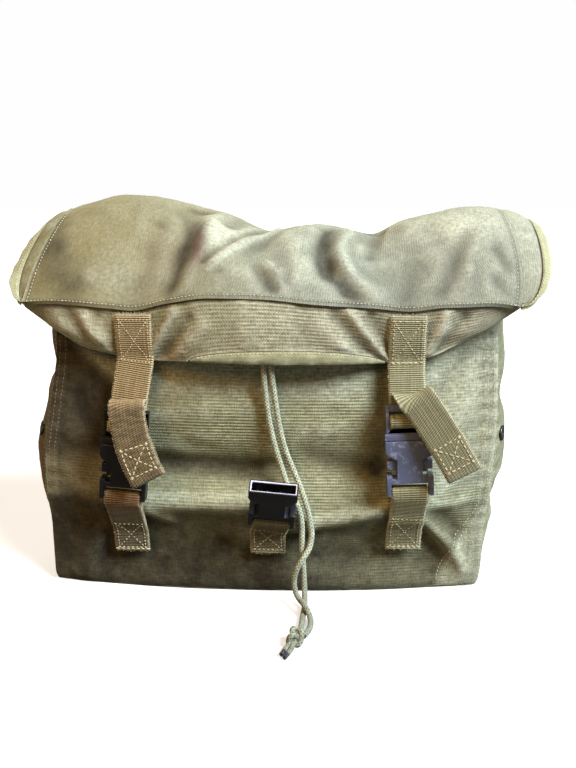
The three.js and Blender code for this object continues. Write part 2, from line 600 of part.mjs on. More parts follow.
// Male half: a ladder for the webbing above, and two sprung arms whose pads show in the windows.
function maleHalf() {
  const b = BUCKLE;
  const y = b.maleThick / 2;
  const rim = b.femaleLong + FIT_GAP;
  const top = rim + b.maleLong;
  const lowSlot = rim + b.shoulderTall;
  const highSlot = lowSlot + b.slotTall + b.crossBar;
  const shoulder = b.thick / 2 - 0.6;
  let made = solid(block(-b.maleHalf, -y, rim, b.maleHalf, y, top))
    .add(solid(block(-b.mouthHalf, -shoulder, rim, b.mouthHalf, shoulder, lowSlot - 0.6)));
  for (const z of [lowSlot, highSlot]) {
    made = made.subtract(solid(block(-b.slotHalf, -b.thick, z, b.slotHalf, b.thick, z + b.slotTall)));
  }
  const p = b.plugThick / 2;
  for (const side of [-1, 1]) {
    const [inner, outer, pad] = [b.armIn, b.armOut, b.padOut].map((x) => side * x);
    const arm = block(Math.min(inner, outer), -p, b.armLow, Math.max(inner, outer), p, rim + 1);
    const latch = block(Math.min(inner, pad), -p, b.padLow, Math.max(inner, pad), p, b.padHigh);
    made = made.add(solid(arm)).add(solid(latch));
  }
  return geometryOf(made);
}

// Places a piece made around the female half's lower edge: leaned sideways, tilted forward, then moved.
function hung(geometry, { x, y, z, leanDeg = 0, tiltDeg = 0 }) {
  const turn = new THREE.Euler(
    THREE.MathUtils.degToRad(tiltDeg), THREE.MathUtils.degToRad(leanDeg), 0, 'YXZ',
  );
  return geometry.applyMatrix4(new THREE.Matrix4().makeRotationFromEuler(turn)).translate(x, y, z);
}

// Straps

// Foremost y of a surface under a strap's width.
const proud = (surfaceY, x) => Math.min(...steps(8).map((f) => surfaceY(x + (f - 0.5) * 1.1 * WEB_WIDTH)));
const along = (points) => new THREE.CatmullRomCurve3(
  points.map(([x, y, z]) => V(x, y, z)), false, 'centripetal',
);

// Upper strap: from the lid down behind the ladder, forward round its middle bar, up behind its end bar, over
// the top, and down in front as a loose tail whose end is folded back.
function upperStrap(closure) {
  const b = BUCKLE;
  const bar = b.maleThick / 2 + 0.6 + WEB_THICK / 2;
  const loadLayer = bar + WEB_THICK + 0.5;
  const lowSlot = b.femaleLong + FIT_GAP + b.shoulderTall;
  const midLow = lowSlot + b.slotTall;
  const midHigh = midLow + b.crossBar;
  const endLow = midHigh + b.slotTall;
  const top = b.femaleLong + FIT_GAP + b.maleLong;
  const loop = (bar + 8.4) / 2;
  const toBuckle = new THREE.Matrix4().makeRotationY(THREE.MathUtils.degToRad(closure.leanDeg));
  const foot = V(closure.buckleX, closure.buckleY, closure.buckleZ);
  const place = (point) => point.applyMatrix4(toBuckle).add(foot);
  const sewn = (z) => {
    const drop = (fold.z(closure.strapX) - z) / (fold.z(closure.strapX) - flap.hemZ(closure.strapX));
    const front = proud((x) => flapPoint(x, 1 - drop).y, closure.strapX);
    return V(closure.strapX, front - WEB_THICK / 2 - SEWN_GAP, z);
  };
  const hem = flap.hemZ(closure.strapX);
  const stations = [];
  const level = V(1, 0, 0);
  const add = (at, across = level) => stations.push({ at, across });
  steps(4).forEach((f) => add(sewn(STRAP_TOP_Z + (hem + 2 - STRAP_TOP_Z) * f)));
  const leaned = level.clone().applyMatrix4(toBuckle);
  const threaded = [
    [loadLayer, top + 4], [loadLayer, midLow - 0.6], [loadLayer - 1.5, midLow - 2.3],
    [0, lowSlot + b.slotTall / 2 - 0.2], [0.7 - bar, midLow - 1.3], [-bar, midLow + 0.3],
    [-bar, midHigh - 0.3], [0.8 - bar, midHigh + 1.5], [0, midHigh + b.slotTall / 2],
    [bar - 0.8, endLow - 1.5], [bar, endLow + 0.3], [bar, top + 1.2],
  ];
  threaded.forEach(([y, z]) => add(place(V(0, y, z)), leaned));
  const turn = THREE.MathUtils.degToRad(closure.tailDeg);
  const centre = V(0, bar - loop, top + 1.2);
  [35, 70, 105, 140, 175].forEach((deg, i) => {
    const angle = THREE.MathUtils.degToRad(deg);
    const share = (i + 1) / 5;
    const across = level.clone().applyAxisAngle(V(0, 1, 0), turn * share);
    const slide = Math.sin(-turn) * loop * share * share;
    add(place(centre.clone().add(V(slide, loop * Math.cos(angle), loop * Math.sin(angle)))), across);
  });
  const across = level.clone().applyAxisAngle(V(0, 1, 0), turn);
  const down = V(Math.sin(-turn), 0, -Math.cos(turn));
  const start = stations[stations.length - 1].at.clone();
  const tail = (share, lift) => start.clone().addScaledVector(down, share * closure.tailLong)
    .add(V(0, -closure.tailOut * Math.sin(share * Math.PI / 2) - lift, 0));
  [0.16, 0.34, 0.52, 0.7, 0.86, 1].forEach((share) => add(tail(share, 0), across));
  const back = -WEB_THICK - 0.5;
  add(tail(1.018, back / 2), across);
  [1, 0.86, 1 - TAIL_HEM / closure.tailLong].forEach((share) => add(tail(share, back), across));
  return ribbon(stations, WEB_WIDTH, WEB_THICK);
}

// Lower strap: sewn flat to the front panel, up to the buckle's bar, round it, and down again over itself.
function lowerStrap(hang, sewnX, sewnZ) {
  const b = BUCKLE;
  const turn = new THREE.Matrix4().makeRotationFromEuler(new THREE.Euler(
    THREE.MathUtils.degToRad(hang.tiltDeg ?? 0), THREE.MathUtils.degToRad(hang.leanDeg), 0, 'YXZ',
  ));
  const place = (y, z) => V(0, y, z).applyMatrix4(turn).add(V(hang.x, hang.y, hang.z));
  const bar = 2 + 0.9 + WEB_THICK / 2;
  const gap = WEB_THICK + SEWN_GAP;
  const rest = WEB_THICK / 2 + SEWN_GAP;
  const sewnTop = sewnZ + 18;
  const panel = (z, layer) => V(sewnX, proud((x) => frontY(x, z), sewnX) - rest - layer * gap, z);
  const across = V(1, 0, 0).applyMatrix4(turn);
  const rollZs = [26, 20, 14].map((below) => hang.z - below).filter((z) => z > sewnTop + 4);
  const roll = (layer) => rollZs.map((z) => {
    const at = panel(z, layer);
    at.x += (hang.x - sewnX) * (z - sewnTop) / (hang.z - sewnTop);
    return at;
  });
  const path = [
    panel(sewnZ, 0), panel(sewnZ + 9, 0), panel(sewnTop, 0), ...roll(0),
    place(bar, -2), place(bar, b.barTall - 0.4), place(bar - 1, b.barTall + 1.1),
    place(0, b.barTall + 1 + WEB_THICK / 2), place(1 - bar, b.barTall + 1.1),
    place(-bar, b.barTall - 0.4), place(-bar, -2), ...roll(1).reverse(),
    panel(sewnTop, 1), panel(sewnZ + 9, 1), panel(sewnZ, 1),
  ];
  return ribbon(path.map((at) => ({ at, across })), WEB_WIDTH, WEB_THICK);
}

function strapPieces() {
  const made = [];
  for (const closure of CLOSURES) {
    const hang = { x: closure.buckleX, y: closure.buckleY, z: closure.buckleZ, leanDeg: closure.leanDeg };
    made.push(piece('upper_strap_' + closure.name, upperStrap(closure), WEBBING));
    made.push(piece('buckle_male_' + closure.name, hung(maleHalf(), hang), PLASTIC));
    made.push(piece('buckle_female_' + closure.name, hung(femaleHalf(), hang), PLASTIC));
    made.push(piece('lower_strap_' + closure.name, lowerStrap(hang, closure.sewnX, closure.sewnZ), WEBBING));
  }
  const { sewnX, sewnZ, ...hang } = CENTRE_BUCKLE;
  made.push(piece('buckle_female_centre', hung(femaleHalf(), hang), PLASTIC));
  made.push(piece('lower_strap_centre', lowerStrap(hang, sewnX, sewnZ), WEBBING));
  return made;
}

// A plain shoulder strap, mirrored for the left.
function shoulderStrap(side) {
  const stations = SHOULDER_ROUTE.map(({ x, y, z }) => ({ at: V(side * x, y, z), across: V(side, 0, 0) }));
  return ribbon(stations, SHOULDER_WIDTH, SHOULDER_THICK);
}

// Drawcord

function strand(points) {
  const curve = along(points);
  const section = new THREE.Shape(steps(CORD_SIDES).slice(0, -1).map((f) => new THREE.Vector2(
    Math.cos(2 * Math.PI * f), Math.sin(2 * Math.PI * f),
  ).multiplyScalar(CORD_DIAMETER / 2)));
  const count = Math.round(curve.getLength() / CORD_STEP);
  return new THREE.ExtrudeGeometry(section, { steps: count, extrudePath: curve, bevelEnabled: false });
}

function lump(long, wide, tall) {
  return new THREE.SphereGeometry(0.5, 12, 8).scale(long, wide, tall);
}

function cordPieces() {
  const place = (geometry, ahead) => geometry.translate(ahead, 0, 0)
    .rotateZ(THREE.MathUtils.degToRad(KNOT.turnDeg)).translate(KNOT.x, KNOT.y, KNOT.z);
  const reach = (KNOT.long + TIP.long) / 2 - 0.5;
  const drop = TIP.tall / 2 + 0.2 - KNOT.z;
  const knot = lump(KNOT.long, KNOT.wide, KNOT.tall);
  const tip = lump(TIP.long, TIP.wide, TIP.tall).translate(0, 0, drop);
  return [
    piece('drawcord_left', strand(LEFT_STRAND), CORD),
    piece('drawcord_right', strand(RIGHT_STRAND), CORD),
    piece('drawcord_knot', place(knot, 0), CORD),
    piece('drawcord_tip', place(tip, -reach), SEALED_END),
  ];
}

const rucksack = new THREE.Group();
rucksack.add(
  ...bodyPieces(),
  ...lidPieces(),
  ...strapPieces(),
  piece('shoulder_strap_left', shoulderStrap(-1), WEBBING),
  piece('shoulder_strap_right', shoulderStrap(1), WEBBING),
  ...cordPieces(),
);
rucksack.children.forEach((mesh) => mesh.position.set(SIDE_SHIFT, DEPTH_SHIFT, 0));

export default rucksack;
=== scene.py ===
"""Looks of a small olive canvas rucksack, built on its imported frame.

Every size is in millimetres and is turned into metres when a mesh is made. From the front, +X runs to the
right, +Y to the back and +Z up. The cloth, webbing, cords and eyelets are modelled here in the places that
their solids hold. The buckles keep the shape of their solids and get moulded edges.
"""

from __future__ import annotations

import logging
import math
from collections.abc import Callable, Sequence
from dataclasses import dataclass, field
from enum import Enum
from functools import partial

import bmesh
import bpy
import numpy as np
from mathutils import Matrix, Vector
from numpy.typing import NDArray

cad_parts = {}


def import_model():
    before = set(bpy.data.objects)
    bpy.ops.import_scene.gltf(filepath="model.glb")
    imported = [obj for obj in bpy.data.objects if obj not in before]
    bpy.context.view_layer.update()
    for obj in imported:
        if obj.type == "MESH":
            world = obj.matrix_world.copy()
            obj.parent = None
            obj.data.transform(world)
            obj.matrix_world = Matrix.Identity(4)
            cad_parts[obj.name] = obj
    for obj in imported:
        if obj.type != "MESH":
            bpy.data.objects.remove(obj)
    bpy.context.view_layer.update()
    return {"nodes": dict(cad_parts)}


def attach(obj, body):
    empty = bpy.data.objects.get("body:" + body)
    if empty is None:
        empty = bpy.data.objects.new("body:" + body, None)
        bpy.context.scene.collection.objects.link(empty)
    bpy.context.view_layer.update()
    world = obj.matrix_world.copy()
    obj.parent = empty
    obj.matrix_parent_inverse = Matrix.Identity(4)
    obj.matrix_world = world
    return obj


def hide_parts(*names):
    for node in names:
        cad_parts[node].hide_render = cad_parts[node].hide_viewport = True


Array = NDArray[np.float64]
Triple = tuple[float, float, float]
Rows = tuple[tuple[float, ...], ...]
Shades = dict[str, Array]
Material = bpy.types.Material
Piece = bpy.types.Object
Socket = bpy.types.NodeSocket
Tree = bpy.types.NodeTree
Adder = Callable[..., Socket]

LOG = logging.getLogger("rucksack")
MM = 0.001
ROW_SHIFT = np.array([-6.65, -1.97, 0.0])  # the solids were moved by this to centre them on the origin
CLOTH = 2.0
WEB_WIDTH = 25.0
WEB_THICK = 1.8
SEWN_GAP = 0.5  # between webbing and the cloth that it is sewn to
FORWARD = np.array([0.0, -1.0, 0.0])
STANDING = {"held": "stretched", "rests_on": ["bottom_canvas"]}  # how the walls stand on the bottom


class Slot(Enum):
    """Material slots of the record."""

    CANVAS = "canvas"
    BINDING = "binding_tape"
    WEBBING = "webbing"
    PLASTIC = "black_plastic"
    METAL = "eyelet_metal"
    CORD = "braided_cord"
    CORD_END = "sealed_cord_end"


class Side(Enum):
    """The bag's sides, seen from the front."""

    LEFT = -1
    RIGHT = 1

    @property
    def word(self) -> str:
        """Ending of this side's piece and node names."""
        return self.name.lower()


# Shape helpers


class Profile:
    """A smooth curve through the rows of a short table, which never overshoots them."""

    def __init__(self, rows: Sequence[Sequence[float]], column: int = 1) -> None:
        """Reads a table.

        Args:
            rows: Rows in rising order of their first number.
            column: Number of the column that the curve follows.
        """
        self.at = np.array([row[0] for row in rows], float)
        self.value = np.array([row[column] for row in rows], float)
        slope = np.diff(self.value) / np.diff(self.at)
        product = slope[:-1] * slope[1:]
        total = np.where(product > 0, slope[:-1] + slope[1:], 1.0)
        middle = np.where(product > 0, 2 * product / total, 0.0)
        self.tangent = np.concatenate([slope[:1], middle, slope[-1:]])

    def __call__(self, position: Array | float) -> Array:
        """Value at a position, held constant beyond the table's ends.

        Args:
            position: One or more positions.

        Returns:
            The values, in the same shape.
        """
        p = np.clip(position, self.at[0], self.at[-1])
        i = np.clip(np.searchsorted(self.at, p) - 1, 0, len(self.at) - 2)
        span = self.at[i + 1] - self.at[i]
        t = (p - self.at[i]) / span
        rise = t * t * (3 - 2 * t)
        bend = (1 - t) * self.tangent[i] - t * self.tangent[i + 1]
        return self.value[i] * (1 - rise) + self.value[i + 1] * rise + span * t * (1 - t) * bend


@dataclass(frozen=True)
class Fold:
    """A ridge (+depth) or a crease (-depth) along a line on a cloth, which fades over its width."""

    start: tuple[float, float]
    end: tuple[float, float]
    width: float
    depth: float
    skew: float = 0.0  # lifts the left of the line and lowers the right, which makes one flank steep
    bow: float = 0.0  # how far the middle of the line stands off to the left

    def lift(self, a: Array, b: Array) -> Array:
        """How far the fold lifts the points (a, b).

        Args:
            a: First coordinates.
            b: Second coordinates.

        Returns:
            The lifts.
        """
        da, db = np.subtract(self.end, self.start)
        length = math.hypot(da, db)
        along = ((a - self.start[0]) * da + (b - self.start[1]) * db) / length
        left = ((b - self.start[1]) * da - (a - self.start[0]) * db) / length
        t = np.clip(along / length, 0, 1)
        off = left - self.bow * 4 * t * (1 - t)
        fade = np.exp(-(off**2 + (along - t * length) ** 2) / self.width**2)
        return fade * (self.depth + 1.65 * self.skew * off / self.width)


Folds = tuple[Fold, ...]


def folded(folds: Folds, a: Array, b: Array) -> Array:
    """Sum of the lifts of several folds at the points (a, b)."""
    return sum((fold.lift(a, b) for fold in folds), np.zeros(np.broadcast(a, b).shape))


def ripple(a: Array, b: Array, seed: int) -> Array:
    """Smooth seeded noise with a cell of one unit.

    Args:
        a: First coordinates.
        b: Second coordinates.
        seed: Which noise.

    Returns:
        Values from -1 to 1.
    """
    table = np.random.default_rng(seed).uniform(-1, 1, (97, 97))
    i, j = np.floor(a).astype(int), np.floor(b).astype(int)
    s, t = a - i, b - j
    s, t = s**3 * (s * (6 * s - 15) + 10), t**3 * (t * (6 * t - 15) + 10)

    def corner(di: int, dj: int) -> Array:
        """Noise at one corner of each cell."""
        return table[(i + di) % 97, (j + dj) % 97]

    low = corner(0, 0) * (1 - s) + corner(1, 0) * s
    high = corner(0, 1) * (1 - s) + corner(1, 1) * s
    return low * (1 - t) + high * t


def crumple(a: Array, b: Array, cell: float, seed: int) -> Array:
    """Small creases of cloth that has been handled: soft noise with some sharp ridges.

    Args:
        a: First coordinates, in millimetres.
        b: Second coordinates, in millimetres.
        cell: Spacing of the larger creases.
        seed: Which creases.

    Returns:
        Values from about -1 to 1.
    """
    warp_a = a / cell + 0.7 * ripple(a / cell / 1.7, b / cell / 1.7, seed + 1)
    warp_b = b / cell + 0.7 * ripple(a / cell / 1.7 + 31, b / cell / 1.7, seed + 2)
    ridges = 0.7 - 2.2 * np.abs(ripple(warp_a, warp_b, seed + 3))
    return 0.45 * ridges + 0.4 * ripple(2.1 * warp_a, 2.1 * warp_b, seed + 4)


def smoothstep(low: float, high: float, value: Array) -> Array:
    """0 below low, 1 above high and a smooth rise between."""
    t = np.clip((value - low) / (high - low), 0, 1)
    return t * t * (3 - 2 * t)


def hump(value: Array, middle: float, width: float) -> Array:
    """1 in the middle, with a smooth fall over the width on both sides."""
    return np.exp(-(((value - middle) / width) ** 2))


def run_along(points: Array) -> Array:
    """Distance of each point of a line from its first."""
    return np.concatenate([[0], np.cumsum(np.linalg.norm(np.diff(points, axis=0), axis=1))])


def smooth_path(points: Array, step: float) -> Array:
    """A curve through points, with samples at an even spacing.

    Args:
        points: Rows of coordinates. The first three are a place, and any more follow along.
        step: Spacing of the samples.

    Returns:
        Rows of samples.
    """
    ends = np.vstack([2 * points[:1] - points[1:2], points, 2 * points[-1:] - points[-2:-1]])
    knots = np.concatenate([[0], np.cumsum(np.sqrt(np.linalg.norm(np.diff(ends[:, :3], axis=0), axis=1)))])
    rows = []
    for i in range(1, len(ends) - 2):
        k, level = knots[i - 1 : i + 3], list(ends[i - 1 : i + 3])
        t = np.linspace(k[1], k[2], 17)[:-1, None]
        for low, high in (((0, 1, 2), (1, 2, 3)), ((0, 1), (2, 3)), ((1,), (2,))):
            level = [
                (k[b] - t) / (k[b] - k[a]) * level[n] + (t - k[a]) / (k[b] - k[a]) * level[n + 1]
                for n, (a, b) in enumerate(zip(low, high))
            ]
        rows.append(level[0])
    fine = np.vstack([*rows, points[-1:]])
    run = run_along(fine[:, :3])
    even = np.linspace(0, run[-1], max(2, round(run[-1] / step)) + 1)
    return np.column_stack([np.interp(even, run, column) for column in fine.T])


def unit(vectors: Array) -> Array:
    """Vectors scaled to length one."""
    return vectors / np.maximum(np.linalg.norm(vectors, axis=-1, keepdims=True), 1e-9)


def turned(axis: str, degrees: float) -> Array:
    """Matrix that turns about the axis X, Y or Z."""
    return np.array(Matrix.Rotation(math.radians(degrees), 3, axis))


def row_frame(points: Array) -> Array:
    """Points of the design, in millimetres, as metres in the frame of the solids."""
    return (np.asarray(points, float) + ROW_SHIFT) * MM


def quads(grid: Array) -> Array:
    """Faces between the lines of a grid of point numbers."""
    corners = [grid[:-1, :-1], grid[:-1, 1:], grid[1:, 1:], grid[1:, :-1]]
    return np.stack(corners, axis=-1).reshape(-1, 4)


def placed(name: str, data: bpy.types.ID) -> Piece:
    """A new object in the scene."""
    made = bpy.data.objects.new(name, data)
    bpy.context.scene.collection.objects.link(made)
    return made


def baked(carrier: Piece) -> bpy.types.Mesh:
    """The plain mesh that an object's modifiers make. The object itself is removed.

    Args:
        carrier: The object.

    Returns:
        The mesh, shaded smooth.
    """
    evaluated = carrier.evaluated_get(bpy.context.evaluated_depsgraph_get())
    mesh = bpy.data.meshes.new_from_object(evaluated)
    bpy.data.objects.remove(carrier)
    mesh.shade_smooth()
    return mesh


def paint(mesh: bpy.types.Mesh, shade: str, values: Array) -> None:
    """Stores a value for each point, which the materials read by its name."""
    layer = mesh.attributes.new(shade, "FLOAT", "POINT")
    layer.data.foreach_set("value", np.asarray(values, np.float32).ravel())


def make_mesh(
    name: str,
    points: Array,
    faces: Sequence[Sequence[int]] | Array,
    flat: Array | None = None,
    shades: Shades | None = None,
    sharp_deg: float = 55.0,
) -> Piece:
    """A closed mesh whose faces point out, with a flat map and painted values.

    Args:
        name: Name of the object.
        points: Places, in millimetres of the design.
        faces: Point numbers of each face.
        flat: Where each point was on the flat cloth, in millimetres.
        shades: Values for each point that the materials read.
        sharp_deg: Edges above this angle stay sharp.

    Returns:
        The object, at the origin.
    """
    mesh = bpy.data.meshes.new(name)
    mesh.from_pydata(row_frame(points).reshape(-1, 3).tolist(), [], [list(map(int, face)) for face in faces])
    if flat is not None:
        layer = mesh.uv_layers.new(name="flat")
        corner = np.empty(len(mesh.loops), int)
        mesh.loops.foreach_get("vertex_index", corner)
        layer.data.foreach_set("uv", np.asarray(flat, np.float32).reshape(-1, 2)[corner].ravel())
    for shade, values in (shades or {}).items():
        paint(mesh, shade, values)
    shell = bmesh.new()
    shell.from_mesh(mesh)
    bmesh.ops.recalc_face_normals(shell, faces=shell.faces)
    shell.to_mesh(mesh)
    shell.free()
    mesh.shade_smooth()
    mesh.set_sharp_from_angle(angle=math.radians(sharp_deg))
    return placed(name, mesh)


def adopt(piece: Piece, material: Material, slot: Slot | None, *nodes: str) -> Piece:
    """Dresses a finished piece and ties it to the frame.

    Args:
        piece: The object.
        material: What it is made of.
        slot: Not used.
        *nodes: Solids that it stands for.

    Returns:
        The object.
    """
    if not piece.data.materials:
        piece.data.materials.append(material)
    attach(piece, "root")
    if nodes:
        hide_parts(*nodes)
    LOG.info("%s: %d faces", piece.name, len(piece.data.polygons))
    return piece


@dataclass
class SeamLine:
    """A line of sewing on a surface."""

    points: Array
    normals: Array


class Panel:
    """A piece of cloth: a grid of points on its outer face, from which its wall grows inwards."""

    def __init__(self, points: Array) -> None:
        """Keeps the grid and works out its normals and its flat map.

        Args:
            points: Rows by columns by three, seen from outside with columns to the right and rows up.
        """
        self.points = points
        self.rows, self.columns = points.shape[:2]
        self.normals = unit(np.cross(np.gradient(points, axis=1), np.gradient(points, axis=0)))
        middle = self.columns // 2
        run = np.cumsum(np.linalg.norm(np.diff(points, axis=1, prepend=points[:, :1]), axis=2), axis=1)
        steps = np.linalg.norm(np.diff(points, axis=0, prepend=points[:1]), axis=2)
        climb = np.cumsum(steps.mean(axis=1))[:, None] + 0 * run
        self.flat = np.stack([run - run[:, middle : middle + 1], climb], axis=2)

    def raised(self, lift: Array) -> Panel:
        """The same cloth with each point moved along its normal."""
        return Panel(self.points + self.normals * lift[..., None])

    def relief(self, cells: int) -> tuple[Array, Array]:
        """How far each point stands out from its neighbourhood, and how far in.

        Args:
            cells: Half the size of the neighbourhood, in cells of the grid.

        Returns:
            Heights and depths, in millimetres.
        """
        blurred = self.points
        window = 2 * cells
        for axis in (0, 1):
            pad = [(cells, cells) if axis == k else (0, 0) for k in range(3)]
            sums = np.cumsum(np.pad(blurred, pad, mode="edge"), axis=axis)
            size = blurred.shape[axis]
            high = np.take(sums, range(window, window + size), axis=axis)
            blurred = (high - np.take(sums, range(size), axis=axis)) / window
        stand = np.einsum("rck,rck->rc", self.points - blurred, self.normals)
        return np.maximum(stand, 0), np.maximum(-stand, 0)

    def line(self, row: Array | float, column: Array | float) -> SeamLine:
        """A line on the cloth, through places between the grid's lines.

        Args:
            row: Row numbers, with fractions.
            column: Column numbers, with fractions.

        Returns:
            The line.
        """
        row, column = np.broadcast_arrays(np.asarray(row, float), np.asarray(column, float))
        r = np.clip(row.astype(int), 0, self.rows - 2)
        c = np.clip(column.astype(int), 0, self.columns - 2)
        s, t = (row - r)[..., None], (column - c)[..., None]

        def blend(grid: Array) -> Array:
            """A grid's value between its lines."""
            low = grid[r, c] * (1 - t) + grid[r, c + 1] * t
            high = grid[r + 1, c] * (1 - t) + grid[r + 1, c + 1] * t
            return low * (1 - s) + high * s

        return SeamLine(blend(self.points), unit(blend(self.normals)))

    def build(self, name: str, shades: Shades, thick: float = CLOTH) -> Piece:
        """The closed wall of the cloth.

        Args:
            name: Name of the object.
            shades: Painted values on the grid.
            thick: Thickness of the wall.

        Returns:
            The object.
        """
        count = self.rows * self.columns
        outer = np.arange(count).reshape(self.rows, self.columns)
        inner = outer + count
        faces = [quads(outer), quads(inner)[:, ::-1]]
        for edge in (0, -1):
            faces.append(quads(np.stack([outer[edge], inner[edge]])))
            faces.append(quads(np.stack([outer[:, edge], inner[:, edge]])))
        points = np.concatenate([self.points, self.points - self.normals * thick])
        painted = {key: np.concatenate([value, value]) for key, value in shades.items()}
        return make_mesh(name, points, np.concatenate(faces), np.concatenate([self.flat, self.flat]), painted)

    def hang(self, name: str, node: str, canvas: Material, shades: Shades, **sheet: object) -> None:
        """Makes the cloth, gives it its canvas and ties it to the frame.

        Args:
            name: Name of the object.
            node: The solid that it stands for.
            canvas: What it is cut from.
            shades: Painted values on the grid.
            **sheet: Not used.
        """
        piece = self.build(name, shades)
        adopt(piece, canvas, Slot.CANVAS, node)


class Strap:
    """Flat webbing along a path, with rounded selvedges."""

    def __init__(self, places: Array, across: Array, width: float, thick: float, step: float = 1.4) -> None:
        """Lays the webbing along its path.

        Args:
            places: Points on its middle line.
            across: Direction of its width at each point.
            width: Its width.
            thick: Its thickness.
            step: Spacing of its cross-sections.
        """
        path = smooth_path(np.hstack([places, across]), step)
        self.middle = path[:, :3]
        self.width, self.thick = width, thick
        ahead = unit(np.gradient(self.middle, axis=0))
        self.face = unit(np.cross(ahead, path[:, 3:]))
        self.side = np.cross(self.face, ahead)
        self.run = run_along(self.middle)
        self.length = float(self.run[-1])

    def line(self, run: Array, off: Array, toward: Array) -> SeamLine:
        """A line on one face of the webbing.

        Args:
            run: Distances along it.
            off: Distances from its middle line.
            toward: A direction that tells which of its two faces is meant.

        Returns:
            The line.
        """
        middle, side, face = (
            np.column_stack([np.interp(run, self.run, column) for column in rows.T])
            for rows in (self.middle, self.side, self.face)
        )
        normal = unit(face)
        normal = normal * np.sign(normal @ toward)[:, None]
        return SeamLine(middle + side * off[:, None] + normal * self.thick / 2, normal)

    def crossed_box(self, low: float, high: float, toward: Array, inset: float = 2.6) -> list[SeamLine]:
        """A sewn box with a cross in it.

        Args:
            low: Where it starts along the webbing.
            high: Where it ends.
            toward: Direction that the sewn face looks in.
            inset: Distance from the webbing's edges.

        Returns:
            The lines.
        """
        half = self.width / 2 - inset
        box = [(low, -half), (low, half), (high, half), (high, -half), (low, -half), (high, half)]
        strokes = [*zip(box, box[1:]), ((high, -half), (low, half))]
        t = np.linspace(0, 1, 16)
        return [self.line(s0 + (s1 - s0) * t, u0 + (u1 - u0) * t, toward) for (s0, u0), (s1, u1) in strokes]

    def cut_edge(self, at_end: bool) -> SeamLine:
        """A cut end of the webbing, from which fibres stand out.

        Args:
            at_end: True for its far end.

        Returns:
            The edge, whose normals point along the webbing.
        """
        i, behind = (-1, -3) if at_end else (0, 2)
        ahead = unit(self.middle[i] - self.middle[behind])
        offs = np.linspace(-0.5, 0.5, 30)[:, None] * self.width
        return SeamLine(self.middle[i] + self.side[i] * offs, np.repeat(ahead[None], 30, axis=0))

    def selvedges(self, low: float = 0.0) -> list[SeamLine]:
        """Both furry edges of the webbing from a distance along it on, with normals that point outwards."""
        middle, side = self.middle[self.run >= low], self.side[self.run >= low]
        return [SeamLine(middle + end * side * self.width / 2, end * side) for end in (-1, 1)]

    def build(self, name: str, shades: dict[str, Callable[[Array], Array]]) -> Piece:
        """The closed band of webbing.

        Args:
            name: Name of the object.
            shades: Painted values as functions of the distance along it.

        Returns:
            The object.
        """
        half, low = self.width / 2, self.thick / 2
        inner = np.linspace(0.55 - half, half - 0.55, 13)
        crown = low * (1 - 0.10 * (inner / half) ** 4)
        rim = np.array([half - 0.1, half, half - 0.1])
        offs = np.concatenate([inner, rim, inner[::-1], -rim])
        lifts = np.concatenate([crown, [0.5 * low, 0, -0.5 * low], -crown, [-0.5 * low, 0, 0.5 * low]])
        size, count = len(offs), len(self.middle)
        wave = 0.22 * ripple(self.run[:, None] / 7, np.sign(offs)[None, :] * 5 + 20, 11)
        off = (offs[None, :] * (1 + wave / half))[..., None]
        points = self.middle[:, None] + self.side[:, None] * off + self.face[:, None] * lifts[None, :, None]
        flat = np.stack(np.broadcast_arrays(offs[None, :], self.run[:, None]), axis=2)
        index = np.arange(count * size).reshape(count, size)
        faces = quads(np.pad(index, ((0, 0), (0, 1)), mode="wrap")).tolist()
        faces += [index[0][::-1].tolist(), index[-1].tolist()]
        painted = {key: np.repeat(value(self.run), size) for key, value in shades.items()}
        return make_mesh(name, points, faces, flat, painted)


# Finishes


def linear(code: str) -> tuple[float, float, float, float]:
    """An sRGB hex colour as linear light.

    Args:
        code: Six hex digits after a hash sign.

    Returns:
        Red, green, blue and an alpha of one.
    """
    parts = [int(code[i : i + 2], 16) / 255 for i in (1, 3, 5)]
    light = [part / 12.92 if part <= 0.04045 else ((part + 0.055) / 1.055) ** 2.4 for part in parts]
    return (light[0], light[1], light[2], 1.0)


def add(tree: Tree, kind: str, *inputs: object, out: str = "", **named: object) -> Socket | None:
    """Adds a node with its settings and links.

    Args:
        tree: The tree that gets it.
        kind: Its type, without the prefix of shader nodes, and after a colon its operation or kind of data.
        *inputs: Values, or outputs to link, for the inputs that it shows, in their order.
        out: Name of the output that is wanted, where it isn't the first that it shows.
        **named: Inputs by their names, and the node's own properties, which are in small letters.

    Returns:
        The output, where the node has one.
    """
    kind, _, mode = kind.partition(":")
    made = tree.nodes.new(kind if "Node" in kind else "ShaderNode" + kind)
    if mode:
        setattr(made, "operation" if hasattr(made, "operation") else "data_type", mode)
    for key in [key for key in named if key.islower()]:
        setattr(made, key, named.pop(key))
    shown = [socket for socket in made.inputs if socket.enabled]
    for socket, value in [*zip(shown, inputs), *((made.inputs[key], value) for key, value in named.items())]:
        if isinstance(value, Socket):
            tree.links.new(value, socket)
        else:
            socket.default_value = value
    if out:
        return made.outputs[out]
    return next((socket for socket in made.outputs if socket.enabled), None)


def threads(node: Adder, place: Socket, pitch: float) -> Socket:
    """A row of threads side by side, as a height from -1 to 1 over the distance across them."""
    return node("Math:SINE", node("Math:MULTIPLY", place, 2 * math.pi / pitch))


def streaks(node: Adder, flat: Socket, spacing: tuple[float, float], detail: float = 2.0) -> Socket:
    """Uneven threads: noise around 0.5 with its own spacing along each direction of the flat cloth."""
    stretched = node("Mapping", flat, Scale=(1 / spacing[0], 1 / spacing[1], 1.0))
    return node("TexNoise", stretched, Scale=1.0, Detail=detail, noise_dimensions="2D")


